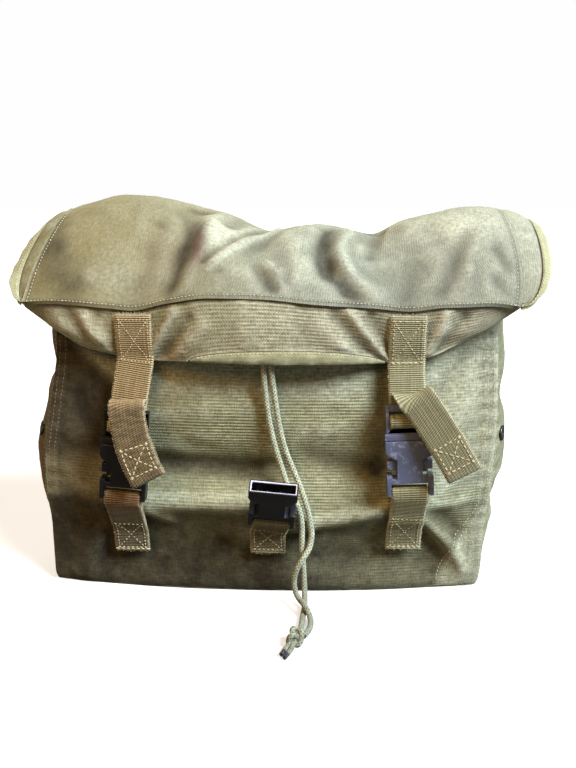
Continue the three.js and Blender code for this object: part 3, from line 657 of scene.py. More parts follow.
@dataclass(frozen=True)
class Finish:
    """A material whose shader gets its values from one of the kinds of finish below."""

    name: str

    def sockets(self, node: Adder) -> dict[str, object]:
        """Values and outputs for the shader's inputs. Each finish has its own."""
        raise NotImplementedError

    def material(self) -> Material:
        """Builds the material.

        Returns:
            The material.
        """
        made = bpy.data.materials.new(self.name)
        made.use_nodes = True
        made.node_tree.nodes.clear()
        node = partial(add, made.node_tree)
        node("OutputMaterial", node("BsdfPrincipled", **self.sockets(node)))
        return made


@dataclass(frozen=True)
class CanvasFinish(Finish):
    """Cotton duck, plain woven from plied yarn and dyed olive: matt, a little fuzzy, faded where it rubs."""

    cloth: str
    shade: str
    # faded: the pale coat of wear, also laid as painted light where the cloth is lit
    faded: str
    # the dark coat: dirt, and painted shade in hollows, below the ridge and on the left side
    grime: str = "#2C2418"
    # stain: brown stains, also laid as painted shade on the left side
    stain: str = "#6A5243"
    # a warm tone, laid as painted warm light on the left side of the bag
    warm_light_tone: str = "#7D6C36"
    warp_mm: float = 1.9  # real threads are about 0.5 mm apart, and are drawn coarser so that they show
    weft_mm: float = 2.4
    rib: float = 0.3  # share of tone and height that goes to the ribs across the cloth
    wale: float = 0.0  # the same for the lines along it
    dots: float = 0.15  # the same for the crossings
    uneven: float = 0.36  # the same for the threads that are thicker or paler than the rest
    bump_mm: float = 0.3
    fade_mm: float = 70.0
    smear_mm: float = 18.18
    slub_mm: tuple[float, float] = (7.0, 1.3)
    pick_mm: tuple[float, float] = (0.9, 5.0)
    scuff_mm: tuple[float, float] = (3.2, 2.4)

    def sockets(self, node: Adder) -> dict[str, object]:
        """Coats of fading, stain, dirt, painted shade and painted light on the dyed cloth, and the weave,
        which shows less through them.

        Args:
            node: What adds a node.

        Returns:
            Values and outputs for the shader.
        """
        flat = node("UVMap", uv_map="flat")
        across = node("SeparateXYZ", flat)
        place = node("TexCoord", out="Object")
        warp = threads(node, across, self.warp_mm)
        weft = threads(node, across.node.outputs["Y"], self.weft_mm)
        # painted values: a painted warm tint, wear with painted light, and stains and dirt with painted shade
        shades = ("yellowed", "wear", "stain", "grime")
        painted = (node("Attribute", out="Fac", attribute_name=shade) for shade in shades)
        yellowed, worn, spoiled, dirt = painted
        patches = node("TexNoise", place, Scale=1000 / self.fade_mm, Detail=5.0, Roughness=0.6)
        rubbed = node("Math:MULTIPLY", worn, streaks(node, flat, self.scuff_mm, 4.0))
        rubbed = node("Math:MULTIPLY", rubbed, 1.5, use_clamp=True)
        spoiled = node("Math:MULTIPLY", spoiled, patches, use_clamp=True)
        smear = node("TexNoise", place, Scale=1000 / self.smear_mm, Detail=6.0, Roughness=0.7)
        dirt = node("Math:MULTIPLY", dirt, node("MapRange", smear, 0.25, 0.7, 0.74, 1.12), use_clamp=True)
        tone = node("Mix:RGBA", node("MapRange", patches, 0.34, 0.68), linear(self.shade), linear(self.cloth))
        coats = ((yellowed, self.warm_light_tone), (rubbed, self.faded), (spoiled, self.stain), (dirt, self.grime))
        for share, colour in coats:
            tone = node("Mix:RGBA", share, tone, linear(colour))

        strength = node("MapRange", patches, 0.3, 0.7, 0.3 * self.rib, 1.5 * self.rib)
        weave = node("Math:MULTIPLY_ADD", warp, self.wale, node("Math:MULTIPLY", weft, strength))
        weave = node("Math:MULTIPLY_ADD", node("Math:MULTIPLY", warp, weft), self.dots, weave)
        crisp = 1.0
        for share, hidden in ((yellowed, 0.9), (worn, 1.1), (dirt, 1.1)):
            crisp = node("Math:MULTIPLY_ADD", share, -hidden, crisp, use_clamp=True)
        weave = node("Math:MULTIPLY", weave, crisp)
        uneven = node("Math:ADD", streaks(node, flat, self.slub_mm), streaks(node, flat, self.pick_mm))
        uneven = node("MapRange", uneven, 0.65, 1.35, 1 - self.uneven, 1 + self.uneven)
        grain = node("Math:MULTIPLY", node("Math:ADD", weave, 1.0), uneven)
        height = node("Math:MULTIPLY_ADD", weave, 3.0, uneven)
        return {
            "Base Color": node("VectorMath:SCALE", tone, grain),
            "Normal": node("Bump", Strength=0.55, Distance=self.bump_mm * MM, Height=height),
            "Roughness": 0.93,
            "Specular IOR Level": 0.25,
            "Sheen Weight": 0.18,
            "Sheen Roughness": 0.55,
            "Sheen Tint": linear("#C9C79C"),
        }


@dataclass(frozen=True)
class WebbingFinish(Finish):
    """Cotton webbing in a heavy rib weave: matt ribs across the band, paler and furry at the selvedges."""

    yarn: str
    shade: str
    edge: str
    # the dark coat: dirt, and painted shade on the straps' tails
    grime: str = "#2A2116"
    rust: str = "#8A5A2C"
    rib_mm: float = 1.5  # real ribs are about 1 mm apart, and are drawn coarser so that they show
    end_mm: float = 2.3
    slant: float = 0.35  # how far the ribs of the tail's other face run askew
    bump_mm: float = 0.4
    patch_mm: tuple[float, float] = (9.0, 2.2)
    long_mm: tuple[float, float] = (1.5, 40.0)
    half_width: float = WEB_WIDTH / 2

    def sockets(self, node: Adder) -> dict[str, object]:
        """Ribs and crossings of the weave, over coats of wear, rust, and dirt with painted shade.

        Args:
            node: What adds a node.

        Returns:
            Values and outputs for the shader.
        """
        flat = node("UVMap", uv_map="flat")
        across = node("SeparateXYZ", flat)
        reverse = node("Attribute", out="Fac", attribute_name="reverse")
        askew = node("Math:MULTIPLY", across, reverse)
        along = node("Math:MULTIPLY_ADD", askew, self.slant, across.node.outputs["Y"])
        share = node("Math:MULTIPLY_ADD", reverse, 0.15, 0.15)
        ends = threads(node, across, self.end_mm)
        weave = node("Math:MULTIPLY_ADD", ends, share, threads(node, along, self.rib_mm))
        uneven = streaks(node, flat, self.patch_mm)
        tone = node("Mix:RGBA", uneven, linear(self.shade), linear(self.yarn))
        off = node("Math:ABSOLUTE", across)
        rim = node("MapRange", off, self.half_width - 1.5, self.half_width - 0.3, 0.0, 0.75)
        tone = node("Mix:RGBA", rim, tone, linear(self.edge))
        for shade, colour in (("wear", self.edge), ("rust", self.rust), ("grime", self.grime)):
            share = node("Attribute", out="Fac", attribute_name=shade)
            share = node("Math:MULTIPLY", share, uneven, use_clamp=True)
            tone = node("Mix:RGBA", share, tone, linear(colour))
        grain = node("MapRange", weave, -1.45, 1.45, 0.4, 1.5)
        paler = node("MapRange", streaks(node, flat, self.long_mm), 0.3, 0.7, 0.85, 1.12)
        return {
            "Base Color": node("VectorMath:SCALE", tone, node("Math:MULTIPLY", grain, paler)),
            "Normal": node("Bump", Strength=0.6, Distance=self.bump_mm * MM, Height=weave),
            "Roughness": 0.88,
            "Specular IOR Level": 0.3,
            "Sheen Weight": 0.15,
            "Sheen Roughness": 0.5,
            "Sheen Tint": linear("#D2C596"),
        }


@dataclass(frozen=True)
class PlasticFinish(Finish):
    """Acetal, moulded black: satin, with a fine grain and hairline scratches from use."""

    resin: str
    scuff: str
    grain_mm: float = 0.8
    scratch_mm: float = 7.0
    worn: float = 0.58  # noise above this shows as a scratch
    bare: str = "#CBC9D0"  # the mouth's rim: rubbing and a painted highlight

    def sockets(self, node: Adder) -> dict[str, object]:
        """Scratches on the resin, and the pale edge of a mouth, which is rubbing and a painted highlight.

        Args:
            node: What adds a node.

        Returns:
            Values and outputs for the shader.
        """
        place = node("TexCoord", out="Object")
        grain = node("TexNoise", place, Scale=1000 / self.grain_mm, Detail=3.0)
        turn = node("Mapping", place, Rotation=(0.4, 0.9, 0.3), Scale=(1.0, 14.0, 1.0))
        scratch = node("TexNoise", turn, Scale=1000 / self.scratch_mm, Detail=8.0, Roughness=0.75)
        marks = node("MapRange", scratch, self.worn, self.worn + 0.22, 0.0, 0.7)
        tone = node("Mix:RGBA", marks, linear(self.resin), linear(self.scuff))
        mouth = node("Attribute", out="Fac", attribute_name="mouth")
        return {
            "Base Color": node("Mix:RGBA", node("MapRange", mouth, 0.5, 0.75), tone, linear(self.bare)),
            "Roughness": node("MapRange", scratch, 0.3, 0.7, 0.3, 0.5),
            "Normal": node("Bump", Strength=0.25, Distance=0.06 * MM, Height=grain),
            "IOR": 1.48,
            "Specular IOR Level": 0.35,
        }


@dataclass(frozen=True)
class MetalFinish(Finish):
    """Brass, stamped and chemically blackened: dull grey where the blacking has rubbed off the rim."""

    dark: str
    bare: str
    wear_mm: float = 2.5

    def sockets(self, node: Adder) -> dict[str, object]:
        """Blacking, which is brighter and smoother where it has rubbed off.

        Args:
            node: What adds a node.

        Returns:
            Values and outputs for the shader.
        """
        wear = node("TexNoise", node("TexCoord", out="Object"), Scale=1000 / self.wear_mm, Detail=4.0)
        share = node("MapRange", wear, 0.4, 0.62)
        return {
            "Base Color": node("Mix:RGBA", share, linear(self.dark), linear(self.bare)),
            "Roughness": node("MapRange", share, 0.0, 1.0, 0.52, 0.34),
            "Metallic": 0.9,
        }


@dataclass(frozen=True)
class YarnFinish(Finish):
    """Cotton yarn, twisted or braided: matt, with a little difference from strand to strand."""

    yarn: str
    shade: str
    patch_mm: float = 3.0
    fuzz_mm: float = 0.625
    roughness: float = 0.9

    def sockets(self, node: Adder) -> dict[str, object]:
        """Patches of tone, with painted shade in the hollows of a braid.

        Args:
            node: What adds a node.

        Returns:
            Values and outputs for the shader.
        """
        place = node("TexCoord", out="Object")
        noise = node("TexNoise", place, Scale=1000 / self.patch_mm, Detail=4.0)
        tone = node("Mix:RGBA", node("MapRange", noise, 0.35, 0.65), linear(self.shade), linear(self.yarn))
        hollow = node("Attribute", out="Fac", attribute_name="hollow")
        fuzz = node("TexNoise", place, Scale=1000 / self.fuzz_mm, Detail=2.0)
        return {
            "Base Color": node("VectorMath:SCALE", tone, node("MapRange", hollow, 0.0, 1.0, 1.0, 0.25)),
            "Normal": node("Bump", Strength=0.5, Distance=0.2 * MM, Height=fuzz),
            "Roughness": self.roughness,
            "Specular IOR Level": 0.25,
            "Sheen Weight": 0.2,
            "Sheen Roughness": 0.5,
        }


@dataclass(frozen=True)
class CardFinish(Finish):
    """White card: matt, and seen brighter than the light that it throws back on the bag."""

    seen: str
    thrown: str
    glow: float

    def sockets(self, node: Adder) -> dict[str, object]:
        """One tone for what is seen of it, and another for the light that it throws.

        Args:
            node: What adds a node.

        Returns:
            Values and outputs for the shader.
        """
        looked_at = node("LightPath", out="Is Camera Ray")
        return {
            "Base Color": node("Mix:RGBA", looked_at, linear(self.thrown), linear(self.seen)),
            "Emission Strength": node("Math:MULTIPLY", looked_at, self.glow),
            "Emission Color": linear("#FFFFFF"),
            "Roughness": 0.95,
            "Specular IOR Level": 0.1,
        }


class Finishes:
    """Every material of the rucksack."""

    def __init__(self) -> None:
        """Builds them."""
        olive = ("#959370", "#827F60", "#C3C3A8")
        self.canvas = CanvasFinish("cotton_duck_body", *olive).material()
        self.side_canvas = CanvasFinish("cotton_duck_sides", *olive, rib=0.15).material()
        fine = {"warp_mm": 1.75, "weft_mm": 1.6, "rib": 0.03, "wale": 0.13, "dots": 0.14, "uneven": 0.18}
        pale = ("#959683", "#82836F", "#C9C9AD")
        self.lid_canvas = CanvasFinish("cotton_duck_lid", *pale, slub_mm=(3.0, 1.8), **fine).material()
        # a lighter, warmer copy of the olive for the flap: painted light
        flap_lit_tones = ("#A29C80", "#8F896D", "#C8C2A7")
        self.flap_canvas = CanvasFinish("cotton_duck_flap_lit", *flap_lit_tones, rib=0.26).material()
        tape = {"rib": 0.06, "dots": 0.12, "uneven": 0.16}
        self.binding = CanvasFinish("cotton_binding_tape", "#B4B28A", "#A29F78", "#D2D0AA", **tape).material()
        self.tan_webbing = WebbingFinish("cotton_webbing_tan", "#A48A60", "#8C744D", "#D6C295").material()
        self.webbing = WebbingFinish("cotton_webbing_olive", "#A39E79", "#8E8764", "#D6D0AE").material()
        self.worn_webbing = WebbingFinish("cotton_webbing_soiled", "#8B7E5E", "#72664A", "#C6B790").material()
        dark = ("#7D7650", "#66603E", "#A59E76")
        self.shoulder_webbing = WebbingFinish("cotton_webbing_wide", *dark, half_width=19.0).material()
        self.plastic = PlasticFinish("black_acetal", "#151519", "#5A5B64").material()
        # a lighter resin for the right-hand buckle halves: painted light from the right, with bright scuffs
        # that are scratches and painted highlights
        self.lit_scuffed_plastic = PlasticFinish("black_acetal_lit_scuffed", "#5C6176", "#DCDEE8", worn=0.54).material()
        self.metal = MetalFinish("blackened_brass", "#2F2E2C", "#77756E").material()
        self.cord = YarnFinish("braided_cotton_cord", "#D8D9B8", "#B2B493").material()
        self.cord_end = YarnFinish("melted_cord_end", "#6F6F70", "#3F3F40", roughness=0.45).material()
        self.thread = YarnFinish("sewing_thread", "#CFC9AB", "#A9A180").material()
        self.tan_thread = YarnFinish("tan_sewing_thread", "#D9C59A", "#B29B6E").material()
        self.rusty_thread = YarnFinish("rust_stained_thread", "#A0805C", "#785C40").material()
        self.strap_thread = YarnFinish("heavy_sewing_thread", "#D2C8A2", "#A99E75").material()
        self.fibre = YarnFinish("frayed_yarn", "#D6CBA3", "#A9996C").material()


# Stitches and frayed ends


class Needlework:
    """Rows of stitches and frayed ends, repeated along lines by geometry nodes."""

    def __init__(self) -> None:
        """Builds the two trees."""
        self.inputs: dict[str, dict[str, str]] = {}
        self.stitches = self._tree("lockstitch_row", self._stitch)
        self.fringe = self._tree("frayed_edge", self._fibre)

    def _tree(self, name: str, copy: Callable[..., tuple[Socket, Socket, Socket]]) -> Tree:
        """A tree that repeats one shape along lines, with named inputs for its sizes.

        Args:
            name: Name of the tree.
            copy: What adds the nodes for a copy's shape, turn and size.

        Returns:
            The tree.
        """
        tree = bpy.data.node_groups.new(name, "GeometryNodeTree")
        sizes = dict.fromkeys(("Pitch", "Length", "Width"), "Float")
        kinds = {"Line": "Geometry", **sizes, "Material": "Material"}
        self.inputs[name] = {
            key: tree.interface.new_socket(key, in_out="INPUT", socket_type="NodeSocket" + kind).identifier
            for key, kind in kinds.items()
        }
        tree.interface.new_socket("Sewing", in_out="OUTPUT", socket_type="NodeSocketGeometry")
        node = partial(add, tree)
        given = node("NodeGroupInput").node.outputs
        curve = node("GeometryNodeMeshToCurve", given["Line"])
        spaced = node("GeometryNodeResampleCurve", curve, Length=given["Pitch"], mode="LENGTH")
        outward = node("GeometryNodeInputNamedAttribute:FLOAT_VECTOR", "surface_normal")
        shape, turn, size = copy(node, given["Length"], given["Width"], outward)
        copies = node("GeometryNodeInstanceOnPoints", spaced, Instance=shape, Rotation=turn, Scale=size)
        real = node("GeometryNodeRealizeInstances", copies)
        node("NodeGroupOutput", node("GeometryNodeSetMaterial", real, Material=given["Material"]))
        return tree

    @staticmethod
    def _stitch(node: Adder, length: Socket, width: Socket, outward: Socket) -> tuple[Socket, Socket, Socket]:
        """One short raised stitch, along the line.

        Args:
            node: What adds a node.
            length: Length of the stitch.
            width: Thickness of its thread.
            outward: Direction away from the cloth.

        Returns:
            Its shape, turn and size.
        """
        along = node("FunctionNodeAlignRotationToVector", Vector=node("GeometryNodeInputTangent"), axis="X")
        upright = node("FunctionNodeAlignRotationToVector", along, Vector=outward, axis="Z", pivot_axis="X")
        size = node("CombineXYZ", length, width, node("Math:MULTIPLY", width, 0.8))
        uneven = node("FunctionNodeRandomValue:FLOAT_VECTOR", (0.82, 0.8, 0.8), (1.08, 1.2, 1.1), Seed=3)
        ball = node("GeometryNodeMeshUVSphere", 6, 5, 0.5)
        return ball, upright, node("VectorMath:MULTIPLY", size, uneven)

    @staticmethod
    def _fibre(node: Adder, length: Socket, width: Socket, outward: Socket) -> tuple[Socket, Socket, Socket]:
        """One loose fibre, which stands out from a cut edge at a chance angle.

        Args:
            node: What adds a node.
            length: Usual length of a fibre.
            width: Its thickness.
            outward: Direction away from the cloth.

        Returns:
            Its shape, turn and size.
        """
        astray = node("FunctionNodeRandomValue:FLOAT_VECTOR", (-0.8, -0.8, -0.8), (0.8, 0.8, 0.8), Seed=5)
        leaning = node("VectorMath:ADD", outward, astray)
        turn = node("FunctionNodeAlignRotationToVector", Vector=leaning, axis="Z")
        size = node("CombineXYZ", width, width, length)
        uneven = node("FunctionNodeRandomValue:FLOAT_VECTOR", (0.6, 0.6, 0.3), (1.3, 1.3, 1.2), Seed=8)
        radii = {"Radius Top": 0.25, "Radius Bottom": 0.5}
        spike = node("GeometryNodeMeshCone", Vertices=4, Depth=1.0, **radii)
        return spike, turn, node("VectorMath:MULTIPLY", size, uneven)

    def _grow(
        self, name: str, tree: Tree, lines: Sequence[SeamLine], material: Material, **sizes: float
    ) -> None:
        """Runs a tree on some lines and keeps the plain mesh.

        Args:
            name: Name of the object.
            tree: Which tree.
            lines: Where the copies go.
            material: What the copies are made of.
            **sizes: The tree's sizes, in millimetres.
        """
        counts = [len(line.points) for line in lines]
        starts = np.cumsum([0, *counts[:-1]]).tolist()
        edges = [(first + i, first + i + 1) for first, count in zip(starts, counts) for i in range(count - 1)]
        guide = bpy.data.meshes.new(name + "_guide")
        guide.from_pydata(row_frame(np.vstack([line.points for line in lines])).tolist(), edges, [])
        normals = np.vstack([line.normals for line in lines])
        layer = guide.attributes.new("surface_normal", "FLOAT_VECTOR", "POINT")
        layer.data.foreach_set("vector", normals.astype(np.float32).ravel())
        carrier = placed(name + "_guide", guide)
        modifier = carrier.modifiers.new(name, "NODES")
        modifier.node_group = tree
        inputs = self.inputs[tree.name]
        for size, value in sizes.items():
            modifier[inputs[size]] = value * MM
        modifier[inputs["Material"]] = material
        adopt(placed(name, baked(carrier)), material, None)

    def sew(
        self,
        name: str,
        lines: Sequence[SeamLine],
        thread: Material,
        pitch: float = 3.1,
        width: float = 0.7,
        share: float = 0.8,
    ) -> None:
        """Makes rows of stitches, of which each fills a share of the pitch."""
        self._grow(name, self.stitches, lines, thread, Pitch=pitch, Length=share * pitch, Width=width)

    def fray(self, name: str, edges: Sequence[SeamLine], fibre: Material, length: float = 1.9) -> None:
        """Makes loose fibres along edges whose normals point away from the cloth."""
        self._grow(name, self.fringe, edges, fibre, Pitch=0.28, Length=length, Width=0.3)


# Body


@dataclass
class Body:
    """The bag's walls and bottom: sections from the floor up, with the folds of the sagging cloth."""

    finishes: Finishes
    needle: Needlework
    # z, sway, half width, front seams' depth, front bulge, side bulge, back half width, back seams' depth,
    # back bulge
    levels: Rows = (
        (0, -5, 163, -58, 16, 2, 165, 60, 3), (24, -4, 164, -58, 18, 8, 167, 62, 4),
        (48, -4, 164, -58, 20, 15, 168, 63, 5), (72, -3.5, 166.5, -58, 25, 18, 168, 64, 6),
        (102, -2.5, 167.5, -57, 20, 21, 168, 64, 6), (142, 1.3, 164.7, -55, 24, 16, 167, 63, 6),
        (184, 3.5, 160.5, -53, 21, 15, 165, 62, 5), (240, 3, 158, -50, 15, 10, 163, 60, 3),
    )
    bulge_power: float = 2.4
    mouth_z: float = 226.0
    back_top_z: float = 240.0
    seam_wide: float = 10.0  # the side seams are felled, which doubles the cloth beside them
    corner_draw: float = 25.0  # how far the right seam runs in at the floor
    corner_top_z: float = 74.0  # where it starts to
    gusset_deep: float = 122.0
    foot_z: float = 1.2  # where the walls start, above the bottom
    tuck: float = 3.0  # how far they are rounded in at the floor
    tuck_z: float = 9.0  # and below which height
    front_cells: tuple[int, int] = (190, 130)
    side_cells: tuple[int, int] = (64, 130)
    back_cells: tuple[int, int] = (110, 90)
    front_folds: Folds = (
        Fold((-92, 72), (-12, 74), 10, 5), Fold((18, 58), (84, 66), 10, 5),
        Fold((-80, 104), (6, 101), 15, -4), Fold((116, 62), (146, 14), 8, 6),
        Fold((-134, 44), (-150, 10), 8, 5), Fold((60, 28), (118, 22), 18, -4),
        Fold((-112, 26), (-40, 30), 18, -4), Fold((-136, 190), (-110, 168), 9, 4),
        Fold((138, 96), (112, 70), 9, 4),
    )
    # creases that are too small for the solids
    front_creases: Folds = (
        Fold((-96, 73), (-10, 75), 9.0, 2.0, skew=2.4), Fold((-8, 71), (20, 56), 8.0, 1.2, skew=1.6),
        Fold((22, 56), (84, 68), 8.0, 2.0, skew=2.2), Fold((-92, 105), (-2, 103), 9.0, -3.6, skew=2.2),
        Fold((-104, 42), (-4, 38), 18.0, -3.5), Fold((30, 34), (96, 38), 16.0, -3.5),
        Fold((66, 66), (84, 71), 4.0, 2.2, skew=1.2),
        Fold((114, 71), (154, 76), 6.0, 2.6, skew=1.4, bow=-3),
        Fold((113, 66), (140, 46), 7.0, -4.0, bow=2), Fold((108, 60), (146, 16), 7.0, 1.5, skew=3.0, bow=3),
        Fold((-90, 66), (-74, 58), 4.5, 1.8, skew=1.0), Fold((-60, 118), (-18, 112), 6.0, -1.2),
        Fold((30, 112), (78, 104), 9.0, -2.2, skew=0.8), Fold((26, 130), (80, 134), 8.0, 1.2),
        Fold((-78, 140), (-14, 146), 9.0, 1.4, bow=3), Fold((-120, 116), (-140, 150), 8.0, -2.0, bow=4),
        Fold((128, 128), (150, 160), 8.0, 1.8, bow=-4), Fold((118, 150), (146, 190), 7.0, -1.8),
        Fold((-128, 70), (-152, 92), 7.0, 2.0), Fold((-122, 56), (-156, 66), 6.0, -2.2),
        Fold((-30, 52), (-4, 40), 7.0, 1.4), Fold((-131, 46), (-141, 10), 6.0, 2.2, skew=1.6),
        Fold((34, 46), (60, 40), 8.0, 1.2),
    )
    # painted shade in the hollows of the front, and the right strap's painted shadow beside it
    hollows: Folds = (
        Fold((-92, 103), (-8, 101), 9, 0.5), Fold((79, 176), (79, 96), 9, 0.6),
        Fold((34, 108), (80, 104), 9, 0.3), Fold((50, 74), (84, 64), 9, 0.3),
        Fold((-104, 120), (-100, 180), 12, 0.3),
    )
    # and painted highlights along some of its folds
    highlit_folds: Folds = (
        Fold((-131, 46), (-140, 12), 5, 0.4), Fold((-128, 86), (-154, 76), 8, 0.25),
        Fold((-112, 186), (-100, 160), 7, 0.35),
    )
    # side, height, width, depth
    side_folds: tuple[tuple[int, float, float, float], ...] = (
        (-1, 166, 12, -10), (-1, 48, 12, -5), (-1, 122, 24, -2), (1, 146, 13, -5), (1, 190, 30, -3),
        (1, 66, 12, -9), (1, 110, 30, -3),
    )

    def __post_init__(self) -> None:
        """Turns the table's columns into curves."""
        names = ("sway", "half", "front_y", "bulge", "side", "back_half", "back_y", "back_bulge")
        self.curve = {name: Profile(self.levels, i + 1) for i, name in enumerate(names)}

    def front(self, s: Array, z: Array) -> Array:
        """Outer face of the front panel.

        Args:
            s: From the left seam, -1, to the right one, 1.
            z: Heights.

        Returns:
            The points.
        """
        c = self.curve
        x = c["half"](z) * s + c["sway"](z)
        swell = c["bulge"](z) * (1 - np.abs(s) ** self.bulge_power)
        lift = folded(self.front_folds, x, z) * (1 - s**8)
        return np.stack(np.broadcast_arrays(x, c["front_y"](z) - swell - lift, z), axis=-1)

    def front_y(self, x: Array, z: Array) -> Array:
        """Depth of the front panel at a place seen from the front."""
        s = np.clip((x - self.curve["sway"](z)) / self.curve["half"](z), -1, 1)
        return self.front(s, z)[..., 1]

    def gusset(self, side: Side, t: Array, z: Array) -> Array:
        """Outer face of a side gusset.

        Args:
            side: Which one.
            t: From its front seam, 0, to its back seam, 1.
            z: Heights.

        Returns:
            The points.
        """
        c = self.curve
        arch = np.sin(np.pi * np.clip(t, 0, 1)) ** 0.9
        rows = [row[1:] for row in self.side_folds if row[0] == side.value]
        lift = sum(depth * hump(z, at, wide) for at, wide, depth in rows)
        straight = c["half"](z) * (1 - t) + c["back_half"](z) * t
        x = side.value * (straight + (c["side"](z) + lift) * arch) + c["sway"](z)
        return np.stack(np.broadcast_arrays(x, c["front_y"](z) * (1 - t) + c["back_y"](z) * t, z), axis=-1)

    def back(self, s: Array, z: Array) -> Array:
        """Outer face of the back panel, from the left seam, -1, to the right one, 1."""
        c = self.curve
        x = c["back_half"](z) * s + c["sway"](z)
        return np.stack(np.broadcast_arrays(x, c["back_y"](z) + c["back_bulge"](z) * (1 - s * s), z), axis=-1)

    def _tucked(self, points: Array) -> Array:
        """Rounds the walls in under the bag at the floor."""
        centre, reach = np.array([-5.0, 2.0]), np.array([168.0, 66.0])
        inward = unit((points[..., :2] - centre) / reach)
        tuck = self.tuck * np.clip(1 - points[..., 2:] / self.tuck_z, 0, 1) ** 2
        return points - np.concatenate([inward * tuck, 0 * tuck], axis=-1)

    def _seam_ridge(self, edge: Array) -> Array:
        """Height of a felled seam at a distance from the cloth's edge."""
        return 0.9 * (1 - smoothstep(self.seam_wide - 1.2, self.seam_wide + 0.6, edge))

    def _puckers(self, edge: Array, run: Array, seed: int) -> Array:
        """Small waves that a tight seam draws into the cloth beside it.

        Args:
            edge: Distances from the seam.
            run: Distances along it.
            seed: Which waves.

        Returns:
            Lifts.
        """
        wave = np.sin(run / 1.9 + 2.4 * ripple(run / 23, np.zeros_like(run), seed))
        strength = 0.55 + 0.45 * ripple(run / 30, edge / 40, seed + 1)
        return 0.55 * wave * np.exp(-((edge - 8) ** 2) / 60) * strength

    @staticmethod
    def _dirt_shade_and_wear(panel: Panel, floor: Array, mottle: Array, edge: Array) -> Shades:
        """Dirt from the floor, painted shade in the hollows of a wall, and wear on its folds and along its
        seams.

        Args:
            panel: The wall.
            floor: How near the floor its points are, from 0 to 1.
            mottle: Patches in the dirt.
            edge: Distances from its seams.

        Returns:
            Painted values.
        """
        high, deep = panel.relief(4)
        # deep: painted shade in the hollows
        grime = np.clip(0.5 * floor * (0.8 + 0.4 * mottle) + 0.4 * np.minimum(deep, 1), 0, 0.9)
        wear = np.clip(0.8 * np.minimum(high, 0.9) + 0.7 * (1 - smoothstep(0.4, 2.2, edge)), 0, 1)
        return {"grime": grime, "wear": wear}

    def build(self) -> None:
        """Makes the walls, the bottom and their seams."""
        lines = self._build_front()
        for side in Side:
            lines += self._build_gusset(side)
        lines += self._build_back()
        self._build_bottom()
        self.needle.sew("stitching_body", lines[2:], self.finishes.thread)
        self.needle.sew("stitching_left_seam", lines[:2], self.finishes.rusty_thread)

    def front_panel(self) -> Panel:
        """The front panel with its small creases and felled seams.

        Returns:
            The cloth.
        """
        columns, rows = self.front_cells
        s, z = np.meshgrid(np.linspace(-1, 1, columns + 1), np.linspace(self.foot_z, self.mouth_z, rows + 1))
        points = self._tucked(self.front(s, z))
        x = points[..., 0]
        edge = self.curve["half"](z) * (1 - np.abs(s))
        small = folded(self.front_creases, x, z) + 0.75 * crumple(x, z, 34, 40) + 0.32 * crumple(x, z, 13, 50)
        low = 0.35 * crumple(x, z, 9, 60) * (1 - smoothstep(30, 80, z))
        lift = (small + low) * smoothstep(2, 26, edge) + self._puckers(edge, z, 70) + self._seam_ridge(edge)
        return Panel(points).raised(lift)

    def _front_shades(self, panel: Panel) -> Shades:
        """Dirt, wear and stains of the front panel, with painted shade and painted light.

        Args:
            panel: The cloth.

        Returns:
            Painted values.
        """
        x, z = panel.points[..., 0], panel.points[..., 2]
        s = np.linspace(-1, 1, panel.columns)[None, :]
        edge = self.curve["half"](z) * (1 - np.abs(s))
        high, deep = panel.relief(5)
        roll = 65 + 10 * ripple(x / 46, z * 0, 81) + 8 * smoothstep(40, 110, x) + 6 * smoothstep(-30, -110, x)
        under = 1 - smoothstep(roll - 13, roll + 5, z)
        floor = 1 - smoothstep(8, 50, z)
        mottle = 0.8 + 0.2 * crumple(x, z, 17, 90)
        # left: painted shade on the front's left edge, which faces away from the key light, with some dirt
        border = -104 - 30 * smoothstep(156, 186, z)
        left = (1 - smoothstep(-14, 8, x - border)) * (0.25 + 0.75 * smoothstep(98, 114, z))
        # shaded: painted shade below the ridge, stronger to the left, with dirt in it
        shaded = (0.76 + 0.38 * smoothstep(70, 120, -x)) * under * mottle * (1 - 0.45 * smoothstep(0, 120, x))
        gathered = 7.6 + self.corner_draw * (1 - smoothstep(10, self.corner_top_z, z))
        # pale: painted light on the lit lower right corner and the gathered cloth right of the seam
        pale = smoothstep(128, 142, x) * smoothstep(64, 90, z)
        pale = np.maximum(pale, smoothstep(-2, 5, gathered - edge) * (x > 0) * (1 - smoothstep(70, 90, z)))
        # painted shade below the ridge and dirt near the floor, both less where the painted light lies
        grime = shaded * (1 - 0.85 * pale) + (0.5 - 0.2 * smoothstep(-20, 60, x)) * floor * (1 - 0.8 * pale)
        # painted shade along the right seam's stitch rows and in the hollows
        grime = grime + 0.25 * hump(edge, 5.3, 3.4) * (x > 0) + 0.35 * np.minimum(deep, 1)
        # painted shade on the left edge, in the hollows and in the right strap's painted shadow
        grime = grime + left * (0.74 + 0.14 * mottle) + 0.9 * folded(self.hollows, x, z)
        # painted shade in the downward-facing hollow on the left
        grime = grime + 0.1 * hump(z, 93, 12) * (1 - smoothstep(-10, 20, x))
        wear = 0.55 * np.minimum(high, 0.6) + 0.8 * (1 - smoothstep(0.4, 2.4, edge)) * (1 - 0.7 * left)
        # paler towards the upper right
        wear = wear + 0.5 * smoothstep(90, 125, x) * smoothstep(70, 100, z)
        # painted light under the flap, where its shadow falls on the front
        wear = wear + 0.55 * smoothstep(148, 162, z) * smoothstep(-90, -70, x) * (1 - smoothstep(50, 80, x))
